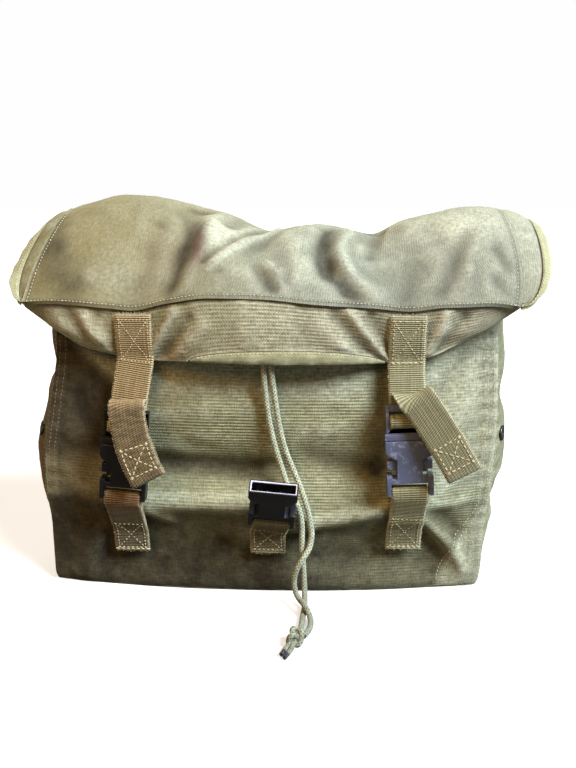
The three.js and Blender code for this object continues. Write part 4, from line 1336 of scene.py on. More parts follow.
        # less wear below the ridge, painted light on the lit corner, and painted highlights on folds
        wear = wear * (1 - 0.6 * under) + 0.55 * pale * under + folded(self.highlit_folds, x, z)
        return {
            "grime": np.clip(grime, 0, 0.97),
            "wear": np.clip(wear, 0, 1),
            # browner on the left: painted shade, with stains
            "stain": 0.35 * (1 - smoothstep(-150, -60, x)) * (1 - 0.4 * under) + 0.6 * left,
            # painted warm light on the left
            "yellowed": 0.25 * (1 - smoothstep(-150, 60, x)),
        }

    def _build_front(self) -> list[SeamLine]:
        """Makes the front panel.

        Returns:
            Its lines of sewing.
        """
        panel = self.front_panel()
        shades = self._front_shades(panel)
        panel.hang("front_canvas", "front_panel", self.finishes.canvas, shades, flat=(0.37, 0.25), **STANDING)
        columns, rows = self.front_cells
        lines = []
        for end in (-1, 1):
            heights = np.linspace(0.03 if end > 0 else 0.36, 0.99, 120)
            z = heights * self.mouth_z
            drawn_in = self.corner_draw * (1 - smoothstep(10, self.corner_top_z, z)) * (end > 0)
            for inset in (3.0, 7.6):
                s = end * (1 - (inset + drawn_in) / self.curve["half"](z))
                lines.append(panel.line(heights * rows, (s + 1) / 2 * columns))
        return lines

    def _build_gusset(self, side: Side) -> list[SeamLine]:
        """Makes a side gusset.

        Args:
            side: Which one.

        Returns:
            Its lines of sewing.
        """
        columns, rows = self.side_cells
        share = np.linspace(0, 1, columns + 1) if side is Side.RIGHT else np.linspace(1, 0, columns + 1)
        t, z = np.meshgrid(share, np.linspace(self.foot_z, self.mouth_z, rows + 1))
        points = self._tucked(self.gusset(side, t, z))
        y = points[..., 1]
        edge = self.gusset_deep * np.minimum(t, 1 - t)
        seed = 110 if side is Side.RIGHT else 130
        small = 1.3 * crumple(y, z, 30, seed) + 0.4 * crumple(y, z, 12, seed + 10)
        panel = Panel(points).raised(small * smoothstep(2, 20, edge) + self._puckers(edge, z, seed + 20))
        shades = self._dirt_shade_and_wear(panel, 1 - smoothstep(4, 46, z), crumple(y, z, 18, 150), edge)
        # both gussets a little darker; painted shade on the left one, which faces away from the key light,
        # darker and browner towards its front seam
        near = (1 - 0.8 * smoothstep(0.12, 0.55, t)) * (side is Side.LEFT)
        shades |= {"stain": 1.6 * near, "grime": np.clip(shades["grime"] + 0.1 + 0.25 * near, 0, 0.9)}
        name, node = "gusset_canvas_" + side.word, "side_gusset_" + side.word
        panel.hang(name, node, self.finishes.side_canvas, shades, flat=(0.14, 0.25), **STANDING)
        return [panel.line(np.linspace(0.03, 0.99, 100) * rows, at * columns) for at in (0.03, 0.97)]

    def _build_back(self) -> list[SeamLine]:
        """Makes the back panel.

        Returns:
            Its lines of sewing.
        """
        columns, rows = self.back_cells
        climb = np.linspace(self.foot_z, self.back_top_z, rows + 1)
        s, z = np.meshgrid(np.linspace(1, -1, columns + 1), climb)
        points = self._tucked(self.back(s, z))
        x = points[..., 0]
        edge = self.curve["back_half"](z) * (1 - np.abs(s))
        small = 1.0 * crumple(x, z, 38, 170) + 0.4 * crumple(x, z, 14, 180)
        lift = small * smoothstep(2, 24, edge) + self._puckers(edge, z, 190) + self._seam_ridge(edge)
        panel = Panel(points).raised(lift)
        shades = self._dirt_shade_and_wear(panel, 1 - smoothstep(4, 50, z), crumple(x, z, 18, 195), edge)
        plain = self.finishes.side_canvas
        panel.hang("back_canvas", "back_panel", plain, shades, flat=(0.36, 0.26), **STANDING)
        climb, across = np.linspace(0.03, 0.985, 110) * rows, np.linspace(0.01, 0.99, 150) * columns
        lines = [panel.line(climb, at * columns) for at in (0.009, 0.023, 0.977, 0.991)]
        return [*lines, panel.line(rows - 1.6, across)]

    def _build_bottom(self) -> None:
        """Makes the flat bottom."""
        s, t = np.meshgrid(np.linspace(1, -1, 61), np.linspace(0, 1, 31))
        z = np.zeros_like(s)
        left, right = self.gusset(Side.LEFT, t, z)[..., 0], self.gusset(Side.RIGHT, t, z)[..., 0]
        x = left + (s + 1) / 2 * (right - left)
        y = self.front(s, z)[..., 1] * (1 - t) + self.back(s, z)[..., 1] * t
        panel = Panel(np.stack([x * 0.985, y * 0.965, z], axis=-1))
        laid = {"flat": (0.34, 0.14), "held": "laid", "rests_on": ["floor"]}
        panel.hang("bottom_canvas", "bottom_panel", self.finishes.side_canvas, {"grime": z + 0.7}, **laid)


# Lid


@dataclass
class Lid:
    """The domed lid: top panel, front flap with its bound hem, and the end gussets with bound edges."""

    finishes: Finishes
    needle: Needlework
    body: Body
    half: float = 174.0
    skew: float = 8.0
    narrow: float = 12.0
    crest_y: float = -8.0
    back_z: float = 242.2
    dome_power: float = 1.5
    hem_mid: float = 14.0
    hem_half: float = 69.0
    hem_height: float = 9.5
    hem_thick: float = 2.6
    belly: float = 1.8
    overlap: float = 2.4  # the top panel's hem laps over the flap
    lap_out: float = 2.0  # how far that hem stands out
    hem_stitch: float = 2.9  # from its edge to its stitches
    end_stitch: float = 3.6  # from the end seams to theirs
    back_lap: Rows = ((1.6, -0.6), (3.0, -2.4), (3.4, -5.4), (3.4, -9.0))  # out, up
    top_cells: tuple[int, int] = (230, 130)
    flap_cells: tuple[int, int] = (230, 34)
    # x, y, z of the fold at the lid's front edge
    fold_rows: Rows = (
        (-177, -72, 221.5), (-150, -77, 223.5), (-112, -81, 221.5), (-95, -81, 220), (-70, -84, 225.5),
        (-40, -87, 230), (-6, -87, 229.5), (32, -87, 226), (73, -84, 223), (97, -81, 220.5),
        (120, -81, 223), (152, -77, 223.5), (177, -72, 220),
    )
    # x and z of the highest line
    crest_rows: Rows = (
        (-160, 278), (-140, 285.5), (-108, 292), (-65, 286.5), (-20, 273.5), (-2, 266), (35, 270.5),
        (76, 264.5), (100, 274.5), (155, 284), (180, 279),
    )
    # x, y and z of the flap's lower edge
    flap_rows: Rows = (
        (-177, -67, 219), (-151, -69, 200), (-133, -72, 189.5), (-112, -76, 185), (-96, -77, 182),
        (-82, -78, 181), (-50, -91, 183), (0, -97, 183), (50, -93, 182.5), (82, -78, 180), (96, -77, 181),
        (112, -76, 184), (133, -72, 193), (151, -69, 202), (177, -67, 219),
    )
    folds: Folds = (
        Fold((-52, -10), (-74, -66), 11, -5), Fold((-30, -30), (-12, 10), 10, -4),
        Fold((30, -64), (62, -30), 9, -4), Fold((76, 6), (70, -34), 9, -3),
        Fold((132, -70), (112, -34), 9, -3),
    )
    # creases that are too small for the solids, in x and distance up the cloth from the front fold
    creases: Folds = (
        Fold((-51, 68), (-67, -4), 10, -1.4, skew=4.2, bow=2),
        Fold((2, 96), (-42, 25), 4.5, 0.8, skew=2.6, bow=3),
        Fold((48, 84), (46, 30), 10, -0.4, skew=4.8, bow=-4), Fold((44, 34), (68, 0), 9, -0.6, skew=3.0),
        Fold((30, 38), (62, 76), 9, 2.8), Fold((8, 92), (-18, 36), 7, -1.6),
        Fold((-4, 32), (8, 2), 6, -0.6, skew=2.4), Fold((10, 84), (22, 18), 8, 1.8),
        Fold((78, 100), (68, 50), 6, -1.2, skew=-1.4), Fold((92, 78), (101, 48), 10, -1.8),
        Fold((141, 52), (121, 4), 8, -1.1, skew=1.2), Fold((159, 38), (168, 24), 5, -1.5),
        Fold((158, 15), (168, 5), 5, -1.7), Fold((-77, 60), (-57, 98), 8, -2.2),
        Fold((-67, 70), (-74, 18), 7, 1.8), Fold((-150, 40), (-118, 62), 14, 1.4),
    )
    # painted shade in their valleys and at the lid's left end
    hollows: Folds = (
        Fold((-51, 66), (-58, 30), 8, 0.4), Fold((-50, 60), (-68, 0), 3.4, 0.4),
        Fold((44, 78), (39, 38), 8, 0.6), Fold((40, 38), (60, 2), 8, 0.5), Fold((2, 26), (8, 8), 5, 0.35),
        Fold((-154, 34), (-140, 10), 13, 0.45), Fold((-158, 66), (-150, 44), 11, 0.45),
        Fold((137, 44), (122, 6), 8, 0.17), Fold((98, 30), (94, 4), 12, 0.22),
        Fold((160, 44), (166, 26), 5, 0.3),
    )
    # gathers of the flap between the straps, in x and height
    gathers: Folds = (
        Fold((-82, 184), (-64, 216), 4.5, 2.4, skew=1.2), Fold((-75, 184), (-55, 214), 4.5, -2.2),
        Fold((-67, 184), (-44, 208), 5, 1.5), Fold((82, 181), (55, 216), 4.5, 2.4, skew=-1.2),
        Fold((75, 182), (45, 216), 5, -2.2), Fold((86, 188), (71, 214), 4.5, -1.8),
        Fold((66, 182), (36, 208), 6, 1.4), Fold((112, 186), (124, 215), 5, 2.6, skew=1.0),
        Fold((119, 189), (136, 213), 5, -2.2), Fold((-112, 188), (-126, 213), 6, 2.0, skew=1.0),
        Fold((-118, 190), (-138, 211), 5, -1.8), Fold((-154, 207), (-118, 198), 10, 4.0),
        Fold((128, 203), (158, 208), 9, 2.4), Fold((-10, 190), (-16, 222), 10, 1.2),
        Fold((22, 188), (26, 222), 9, -1.0),
    )
    # out, down, binding out, binding down, and where the binding's inner edge lies
    ends: dict[Side, tuple[float, float, float, float, float]] = field(
        default_factory=lambda: {Side.LEFT: (17.5, 11, 9, 8, 0.66), Side.RIGHT: (19, 6, 9, 6, 1.08)}
    )
    # snaps under the cloth print through it: x, distance up the cloth, radius
    snaps: Rows = ((-125.5, 16, 5.2), (137.6, 24, 5.2), (8, 24.6, 5.0))

    def __post_init__(self) -> None:
        """Turns the tables' columns into curves."""
        self.fold_y, self.fold_z = Profile(self.fold_rows, 1), Profile(self.fold_rows, 2)
        self.crest_z = Profile(self.crest_rows)
        self.hem_y, self.hem_z = Profile(self.flap_rows, 1), Profile(self.flap_rows, 2)

    def top(self, across: Array, v: Array) -> Array:
        """Outer face of the top panel.

        Args:
            across: Distance from the middle along the front fold.
            v: From the fold, 0, over the crest to the seam at the back, 1.

        Returns:
            The points.
        """
        rise = np.clip(np.sin(v * np.pi), 0, 1)
        x = across + rise * self.skew - rise**3 * self.narrow * across / self.half
        level = self.body.back_top_z
        s = np.clip((x - self.body.curve["sway"](level)) / self.body.curve["back_half"](level), -1, 1)
        back_y = self.body.back(s, np.full_like(s, level))[..., 1]
        front = v <= 0.5
        span = np.where(front, self.crest_y - self.fold_y(across), back_y - self.crest_y)
        foot = np.where(front, self.fold_z(across), self.back_z)
        y = self.crest_y - span * np.cos(v * np.pi)
        dome = rise**self.dome_power
        z = foot + (self.crest_z(x) - foot) * dome + folded(self.folds, x, y) * dome
        return np.stack([x, y, z], axis=-1)

    def hem_rise(self, x: Array) -> Array:
        """Height of the bound hem, which is a shallow bow between the straps."""
        return self.hem_height * np.sqrt(np.clip(1 - ((x - self.hem_mid) / self.hem_half) ** 2, 0, 1))

    def flap_height(self, x: Array) -> Array:
        """Height of the flap's cloth between its hem and the fold."""
        return self.fold_z(x) - self.hem_z(x) - self.hem_rise(x)

    def flap(self, x: Array, v: Array) -> Array:
        """Outer face of the front flap.

        Args:
            x: Place across.
            v: From its lower edge, 0, to the fold, 1.

        Returns:
            The points.
        """
        low = self.hem_z(x) + self.hem_rise(x)
        high = self.fold_z(x)
        z = low + (high - low) * v
        drop = (high - z) / (high - self.hem_z(x))
        belly = self.belly * np.sin(np.pi * drop) * (1 - (x / self.half) ** 2)
        y = self.fold_y(x) + (self.hem_y(x) - self.fold_y(x)) * drop - belly
        return np.stack(np.broadcast_arrays(x, y, z), axis=-1)

    def end(self, side: Side, v: Array, across: Array) -> Array:
        """An end gusset and its binding.

        Args:
            side: Which end.
            v: As for the top panel.
            across: From the seam, 0, to the edge of the cloth, 1, and on to the edge of its binding, 2.

        Returns:
            The points.
        """
        out, down, tape_out, tape_down, _ = self.ends[side]
        points = self.top(np.full_like(v, side.value * self.half), v)
        flare = np.clip(np.sin(np.pi * v), 0, 1) ** (0.55 if side is Side.RIGHT else 0.7)
        cloth, tape = np.minimum(across, 1), np.maximum(across - 1, 0)
        sag = flare * smoothstep(0.02, 0.3, v)
        points[..., 0] += side.value * flare * (out * cloth + tape_out * tape)
        points[..., 2] -= sag * (down * cloth**2 + tape_down * tape)
        return points

    def build(self) -> None:
        """Makes the lid's pieces and their seams."""
        lines = self._build_top()
        self._build_flap()
        lines += self._build_hem()
        for side in Side:
            lines += self._build_end(side)
        self.needle.sew("stitching_lid", lines, self.finishes.thread, 2.6, 0.75)

    def _top_shades(self, panel: Panel, up: Array, seam: Array) -> Shades:
        """Dirt, wear and stains of the top panel, with painted shade and painted warm light.

        Args:
            panel: The cloth.
            up: Distances up it from the front fold.
            seam: Distances from the seams at its ends.

        Returns:
            Painted values.
        """
        x = panel.points[..., 0]
        high, deep = panel.relief(6)

        def spot(at_x: float, at_up: float, wide: float, tall: float) -> Array:
            """A soft patch on the cloth."""
            return hump(x, at_x, wide) * hump(up, at_up, tall)

        wear = (0.2 + 0.4 * smoothstep(-80, -20, x)) * np.minimum(high, 0.9)
        wear = wear + 0.8 * (1 - smoothstep(0.5, 2.4, seam)) * (x < 0)
        wear = wear + 0.9 * spot(-36, 60, 13, 24) + 0.75 * spot(134, 68, 30, 18)
        wear = wear + 0.35 * spot(-108, 14, 22, 14)
        # painted shade along the stitch lines of the end seams and the hem
        seams = (1 + 0.6 * (x > 0)) * hump(seam, self.end_stitch, 0.9)
        seams = seams + hump(up, self.hem_stitch - self.overlap, 0.9)
        # painted shade in the hollows, and dirt in patches
        grime = 0.45 * np.minimum(deep, 1.1) + 0.2 * crumple(x, up, 40, 240) + 0.4 * seams
        grime = grime + 0.12 * crumple(x, up, 15, 245) * (1 - smoothstep(-40, 40, x))
        return {
            # painted shade in the valleys of the creases
            "grime": np.clip(grime + folded(self.hollows, x, up), 0, 0.85),
            "wear": np.clip(wear, 0, 1),
            "stain": 2.2 * spot(-51.5, 42, 7, 22) + 0.3 * spot(126, 36, 30, 30) + 0.5 * spot(-70, 26, 14, 34),
            # painted warm light on the left
            "yellowed": 0.72 * (1 - smoothstep(-130, 50, x)),
        }

    def _build_top(self) -> list[SeamLine]:
        """Makes the top panel, whose front hem laps over the flap.

        Returns:
            Its lines of sewing.
        """
        columns, rows = self.top_cells
        shares = np.linspace(0, 1, rows + 1)
        columns_at = np.linspace(-1, 1, columns + 1) * (self.half - 0.1)
        across, v = np.meshgrid(columns_at, 0.5 * shares + 0.5 * shares**1.3)
        smooth = Panel(self.top(across, v))
        x, climb = smooth.points[..., 0], smooth.flat[..., 1]
        edge = self.half - np.abs(across)
        dome = np.clip(np.sin(v * np.pi), 0, 1)
        small = 0.8 * crumple(x, climb, 36, 210) + 0.35 * crumple(x, climb, 13, 220)
        small = folded(self.creases, x, climb) + small
        prints = sum(0.9 * np.exp(-((np.hypot(x - a, climb - b) / r) ** 4)) for a, b, r in self.snaps)
        lift = (small * smoothstep(1, 20, edge) + prints) * smoothstep(0.03, 0.3, dome)
        body = smooth.raised(lift + hump(edge, 1.2, 1.0) * (x < 0)).points
        body[..., 1] -= self.lap_out * hump(v, 0, 0.07)
        lap_v = np.array([-self.overlap, -0.5 * self.overlap, -0.15 * self.overlap])[:, None]
        lap_x = across[0][None, :] + 0 * lap_v
        lapped = self.flap(lap_x, 1 + lap_v / np.maximum(self.flap_height(lap_x), 1)) + self.lap_out * FORWARD
        sewn_on = [body[-1] + np.array([0, out, rise]) for out, rise in self.back_lap]
        panel = Panel(np.concatenate([lapped, body, sewn_on]))
        lead, tail = len(lap_v), len(sewn_on)
        up = np.concatenate([lap_v + 0 * lap_x, climb, np.repeat(climb[-1:], tail, axis=0)])
        shades = self._top_shades(panel, up, np.pad(edge, ((lead, tail), (0, 0)), mode="edge"))
        draped = {"flat": (0.37, 0.19), "held": "draped", "rests_on": ["back_canvas"]}
        panel.hang("lid_canvas", "lid_top", self.finishes.lid_canvas, shades, **draped)

        total = rows + lead
        run = np.linspace(0.006, 0.994, 220) * columns
        hem_row = float(np.interp(self.hem_stitch - self.overlap, up[:, 0], np.arange(len(up))))
        lines = [panel.line(at, run) for at in (hem_row, total + tail - 1.0)]
        inset = self.end_stitch / (2 * self.half)
        climb = np.linspace(lead + 3, total - 2, 160)
        return lines + [panel.line(climb, at * columns) for at in (inset, 1 - inset)]

    def _build_flap(self) -> None:
        """Makes the front flap."""
        columns, rows = self.flap_cells
        x, v = np.meshgrid(np.linspace(-1, 1, columns + 1) * self.half, np.linspace(0.01, 0.995, rows + 1))
        points = self.flap(x, v)
        z = points[..., 2]
        small = folded(self.gathers, x, z) + 0.6 * crumple(x, z, 26, 250) + 0.25 * crumple(x, z, 11, 260)
        free = smoothstep(0, 0.12, v) * (1 - smoothstep(0.85, 1.0, v))
        panel = Panel(points).raised(small * free * smoothstep(4, 30, self.half - np.abs(x)))
        high, deep = panel.relief(4)
        wear = np.clip(0.8 * np.minimum(high, 0.9) + 0.7 * (1 - smoothstep(0.01, 0.06, v)), 0, 1)
        height = self.flap_height(x)
        # lapped: painted shadow of the top panel's hem on the flap
        lapped = (1 - smoothstep(2.4, 4.6, (1 - v) * height)) * smoothstep(12, 24, height)
        dull = 0.12 * smoothstep(0, 40, x) * (1 - smoothstep(64, 90, x)) + 0.1 * smoothstep(120, 150, x)
        shades = {
            # painted shade in the gathers, and the hem's painted shadow
            "grime": np.clip(0.5 * np.minimum(deep, 1) + 0.55 * lapped + dull, 0, 0.9),
            # paler at both sides: painted light where the flap is lit
            "wear": np.clip(wear + 0.15 * smoothstep(100, 150, x) + 0.35 * smoothstep(100, 130, -x), 0, 1),
            # painted warm light on the left
            "yellowed": 0.55 * (1 - smoothstep(-130, 20, x)),
        }
        hung = {"flat": (0.37, 0.045), "held": "hung", "rests_on": ["lid_canvas"], "area": 0.0115}
        panel.hang("flap_canvas", "lid_front_flap", self.finishes.flap_canvas, shades, **hung)

    def _build_hem(self) -> list[SeamLine]:
        """Makes the tape that binds the flap's edge between the straps.

        Returns:
            Its lines of sewing.
        """
        columns, rows = 130, 10
        share = np.linspace(-0.98, 0.98, columns + 1)
        x, v = np.meshgrid(self.hem_mid + share * self.hem_half, np.linspace(0, 1, rows + 1))
        top = self.flap(x, np.zeros_like(x))
        y = top[..., 1] + (self.hem_y(x) - top[..., 1]) * (1 - v) - (self.hem_thick - CLOTH) / 2
        z = top[..., 2] - self.hem_rise(x) * (1 - v)
        rounded = 0.5 * np.sin(np.pi * v) - 0.9 * hump(v, 0, 0.12)
        wave = 0.5 * np.sin(x / 3.3 + 2 * ripple(x / 22, v * 0, 270)) * (1 - v)
        panel = Panel(np.stack([x, y - rounded - wave, z], axis=-1))
        grime = np.clip(0.08 + 0.35 * (1 - v) + 0.3 * crumple(x, z, 8, 275), 0, 0.6)
        wear = np.clip(1 - 5 * np.abs(v - 0.08), 0, 1)
        piece = panel.build("hem_binding", {"grime": grime, "wear": wear}, self.hem_thick)
        adopt(piece, self.finishes.binding, Slot.BINDING, "lid_hem_binding")
        return [panel.line(0.86 * rows, np.linspace(0.04, 0.96, 120) * columns)]

    def _build_end(self, side: Side) -> list[SeamLine]:
        """Makes an end gusset and the tape that binds its edge.

        Args:
            side: Which end.

        Returns:
            Their lines of sewing.
        """
        left = side is Side.LEFT
        order = -1 if left else 1
        climb = 0.5 - 0.5 * np.cos(np.linspace(0.06, np.pi - 0.06, 111))
        inner = self.ends[side][4]
        across, v = np.meshgrid(np.linspace(0.0, inner + 0.06, 17)[::order], climb)
        points = self.end(side, v, across)
        seed = 290 if left else 280
        small = 0.7 * crumple(points[..., 1], points[..., 2], 20, seed) * np.sin(np.pi * across / inner)
        panel = Panel(points).raised(small)
        high, deep = panel.relief(3)
        # painted shadow of the binding along its inner edge, strongest on the right end
        shadow_under_binding = (0.3 if left else 0.97) * smoothstep(inner - 0.15, inner - 0.08, across)
        shades = {
            # painted shade on the left end and in the hollows
            "grime": np.clip(0.25 * left + 0.5 * np.minimum(deep, 1) + shadow_under_binding, 0, 0.97),
            "wear": np.clip((0.0 if left else 0.15) + np.minimum(high, 0.7), 0, 1),
            # painted warm light, mostly on the left end
            "yellowed": np.full_like(v, 0.8 if left else 0.1),
        }
        wide, area = (0.017, 0.0020) if left else (0.024, 0.0030)
        hung = {"flat": (wide, 0.19), "held": "hung", "rests_on": ["lid_canvas"], "area": area}
        name, node = "end_canvas_" + side.word, "lid_end_" + side.word
        panel.hang(name, node, self.finishes.lid_canvas, shades, **hung)

        across, v = np.meshgrid(np.linspace(inner, 2.0, 13)[::order], climb)
        share = (across - inner) / (2 - inner)
        rounded = 1.1 * np.sqrt(np.clip(1 - (2 * share - 1) ** 4, 0, 1)) - 0.2
        tape = Panel(self.end(side, v, across)).raised(rounded)
        run = tape.flat[..., 1]
        tape = tape.raised(0.3 * np.sin(run / 2.6) * share)
        wear = np.clip(1 - 4 * np.abs(share - 0.92), 0, 1)
        grime = np.clip(0.25 * crumple(run, share * 10, 16, seed + 5), 0, 0.5)
        piece = tape.build("end_binding_" + side.word, {"grime": grime, "wear": wear}, self.hem_thick)
        adopt(piece, self.finishes.binding, Slot.BINDING, "lid_end_binding_" + side.word)
        return [tape.line(np.linspace(1, 109, 140), 10.0 if left else 2.0)]


# Straps and buckles


@dataclass(frozen=True)
class Buckle:
    """Sizes of the side-release buckle that the webbing passes through."""

    female_long: float = 41.0
    bar_tall: float = 3.6
    male_long: float = 25.0
    male_thick: float = 5.0
    shoulder_tall: float = 5.0
    slot_tall: float = 6.4
    cross_bar: float = 2.6
    fit_gap: float = 0.4


@dataclass(frozen=True)
class Closure:
    """One closing strap: where its buckle hangs, how it leans and how its free tail falls."""

    side: Side
    strap_x: float
    buckle: Triple
    lean_deg: float
    sewn_x: float
    sewn_z: float
    tail_deg: tuple[float, float]  # its lean where it leaves the buckle and at its end
    tail_slide: float  # how far it moves sideways over the fold
    tail_out: float
    tail_long: float


@dataclass
class Closures:
    """The two closing straps with their buckles, and the empty buckle half in the middle."""

    finishes: Finishes
    needle: Needlework
    body: Body
    lid: Lid
    buckle: Buckle = field(default_factory=Buckle)
    strap_top_z: float = 215.0
    tail_hem: float = 26.0
    pairs: tuple[Closure, ...] = (
        Closure(Side.LEFT, -93.7, (-105, -90.5, 82), 5, -103.5, 33, (-7, -29), 0.5, 10, 49),
        Closure(Side.RIGHT, 96.5, (101, -90.5, 88), -3, 99, 38, (-36, -29), 5.0, 8, 56),
    )
    centre_at: Triple = (2.2, -93.5, 67)
    centre_lean_deg: float = 5.0
    centre_tilt_deg: float = 33.0
    centre_sewn: tuple[float, float] = (-1, 36)

    @staticmethod
    def _proud(depth: Callable[[Array], Array], x: float) -> float:
        """Foremost depth of a surface under a strap's width."""
        return float(np.min(depth(x + np.linspace(-0.55, 0.55, 9) * WEB_WIDTH)))

    def upper(self, closure: Closure) -> Strap:
        """An upper strap: from the lid through the ladder and over its top, down to a hemmed free end.

        Args:
            closure: Which one.

        Returns:
            The webbing.
        """
        b = self.buckle
        bar = b.male_thick / 2 + 0.6 + WEB_THICK / 2
        load = bar + WEB_THICK + 0.5
        low_slot = b.female_long + b.fit_gap + b.shoulder_tall
        mid_low = low_slot + b.slot_tall
        mid_high = mid_low + b.cross_bar
        end_low = mid_high + b.slot_tall
        top = b.female_long + b.fit_gap + b.male_long
        loop = (bar + 8.4) / 2
        lean = turned("Y", closure.lean_deg)
        level = np.array([1.0, 0.0, 0.0])
        places, across = [], []

        def put(place: Array, direction: Array = level) -> None:
            """Adds a point of the middle line."""
            places.append(place)
            across.append(direction)

        def hang(local: Sequence[float]) -> Array:
            """A point of the buckle's own frame."""
            return lean @ np.array(local, float) + np.array(closure.buckle)

        hem = float(self.lid.hem_z(closure.strap_x))
        fold = float(self.lid.fold_z(closure.strap_x))
        for share in np.linspace(0, 1, 5):
            z = self.strap_top_z + (hem + 2 - self.strap_top_z) * share
            v = 1 - (fold - z) / (fold - hem)
            front = self._proud(lambda x, v=v: self.lid.flap(x, np.full_like(x, v))[..., 1], closure.strap_x)
            put(np.array([closure.strap_x, front - WEB_THICK / 2 - SEWN_GAP, z]))
        threaded = (
            (load, top + 4),
            (load, mid_low - 0.6),
            (load - 1.5, mid_low - 2.3),
            (0, low_slot + b.slot_tall / 2 - 0.2),
            (0.7 - bar, mid_low - 1.3),
            (-bar, mid_low + 0.3),
            (-bar, mid_high - 0.3),
            (0.8 - bar, mid_high + 1.5),
            (0, mid_high + b.slot_tall / 2),
            (bar - 0.8, end_low - 1.5),
            (bar, end_low + 0.3),
            (bar, top + 1.2),
        )
        for y, z in threaded:
            put(hang((0, y, z)), lean @ level)
        first, last = closure.tail_deg
        for i, deg in enumerate((35, 70, 105, 140, 175)):
            share = (i + 1) / 5
            angle = math.radians(deg)
            slide = (closure.tail_slide - math.sin(math.radians(first)) * loop) * share * share
            local = (slide, bar - loop + loop * math.cos(angle), top + 1.2 + loop * math.sin(angle))
            put(hang(local), turned("Y", first * share**2) @ level)
        start = places[-1].copy()

        def hang_tail(share: float, lift: float) -> None:
            """Adds a point of the free tail, or of its hem behind it."""
            lean_at = turned("Y", first + (last - first) * share)
            fall = turned("Y", first + (last - first) * share / 2) @ np.array([0.0, 0.0, -1.0])
            out = closure.tail_out * math.sin(share * math.pi / 2) + lift
            put(start + fall * share * closure.tail_long - np.array([0, out, 0]), lean_at @ level)

        for share in (0.16, 0.34, 0.52, 0.7, 0.86, 1.0):
            hang_tail(share, 0)
        behind = -WEB_THICK - 0.5
        hang_tail(1.018, behind / 2)
        for share in (1.0, 0.86, 1 - self.tail_hem / closure.tail_long):
            hang_tail(share, behind)
        return Strap(np.array(places), np.array(across), WEB_WIDTH, WEB_THICK)

    def lower(
        self, at: Sequence[float], lean_deg: float, tilt_deg: float, sewn_x: float, sewn_z: float
    ) -> Strap:
        """A lower strap: sewn flat to the front, up round the buckle's bar and down over itself.

        Args:
            at: Where the buckle hangs.
            lean_deg: Its lean sideways.
            tilt_deg: Its tilt forward.
            sewn_x: Middle of the sewn end.
            sewn_z: Lower edge of the sewn end.

        Returns:
            The webbing.
        """
        b = self.buckle
        turn = turned("Y", lean_deg) @ turned("X", tilt_deg)
        origin = np.array(at, float)
        bar = 2 + 0.9 + WEB_THICK / 2
        layer = WEB_THICK + SEWN_GAP
        rest = WEB_THICK / 2 + SEWN_GAP
        sewn_top = sewn_z + 18

        def hang(y: float, z: float) -> Array:
            """A point of the buckle's own frame."""
            return turn @ np.array([0, y, z]) + origin

        def flat(z: float, number: int) -> Array:
            """A point of a layer that lies on the front panel."""
            depth = self._proud(lambda x: self.body.front_y(x, np.full_like(x, z)), sewn_x)
            return np.array([sewn_x, depth - rest - number * layer, z])

        def roll(number: int) -> list[Array]:
            """Points from the sewn end to the buckle, straight unless the cloth stands out past them."""
            low, high = flat(sewn_top, number), hang(bar * (1 - 2 * number), -2)
            made = []
            for share in (0.25, 0.5, 0.75):
                place = low + (high - low) * share
                place[1] = min(place[1], flat(place[2], number)[1])
                made.append(place)
            return made

        places = [flat(sewn_z, 0), flat(sewn_z + 9, 0), flat(sewn_top, 0), *roll(0)]
        places += [hang(bar, -2), hang(bar, b.bar_tall - 0.4), hang(bar - 1, b.bar_tall + 1.1)]
        places += [hang(0, b.bar_tall + 1 + WEB_THICK / 2), hang(1 - bar, b.bar_tall + 1.1)]
        places += [hang(-bar, b.bar_tall - 0.4), hang(-bar, -2), *roll(1)[::-1]]
        places += [flat(sewn_top, 1), flat(sewn_z + 9, 1), flat(sewn_z, 1)]
        across = np.repeat((turn @ np.array([1.0, 0, 0]))[None], len(places), axis=0)
        return Strap(np.array(places), across, WEB_WIDTH, WEB_THICK)

    def build(self, nodes: dict[str, Piece]) -> None:
        """Makes the straps and buckles.

        Args:
            nodes: The frame's solids.
        """
        faint, lines, bold, ends, edges = [], [], [], [], []
        for closure in self.pairs:
            tan = closure.side is Side.LEFT
            upper = self.upper(closure)
            tip = upper.length - self.tail_hem - 2.2
            woven = self.finishes.tan_webbing if tan else self.finishes.webbing
            self._build_upper(upper, closure, tip, woven)
            box = upper.crossed_box(3.6, 34, FORWARD)
            (faint if tan else lines).extend(box)
            bold += [] if tan else [box[0], box[2]]
            bold += upper.crossed_box(tip - 26, tip - 7, FORWARD, 3.2)
            ends += [upper.cut_edge(False), upper.cut_edge(True)]
            edges += upper.selvedges()
            lower = self.lower(closure.buckle, closure.lean_deg, 0, closure.sewn_x, closure.sewn_z)
            rusty, soiled = (1.3, 0.8) if tan else (0.0, 0.4)
            woven = self.finishes.worn_webbing if tan else self.finishes.webbing
            self._build_lower(lower, closure.side.word, rusty, soiled, woven)
            lines += lower.crossed_box(lower.length - (27 if tan else 31), lower.length - 3, FORWARD)
            bold.append(lower.crossed_box(lower.length - 1.6, lower.length, FORWARD, 1.0)[0])
            ends.append(lower.cut_edge(True))
            edges += lower.selvedges(lower.length / 2)
        centre = self.lower(self.centre_at, self.centre_lean_deg, self.centre_tilt_deg, *self.centre_sewn)
        self._build_lower(centre, "centre", 0.0, 0.7, self.finishes.worn_webbing)
        lines += centre.crossed_box(centre.length - 25, centre.length - 3, FORWARD)
        ends.append(centre.cut_edge(True))
        edges += centre.selvedges(centre.length / 2)
        self.needle.sew("stitching_tan_strap", faint, self.finishes.tan_thread, 2.3, 0.8)
        self.needle.sew("stitching_straps", lines, self.finishes.strap_thread, 2.9, 0.9)
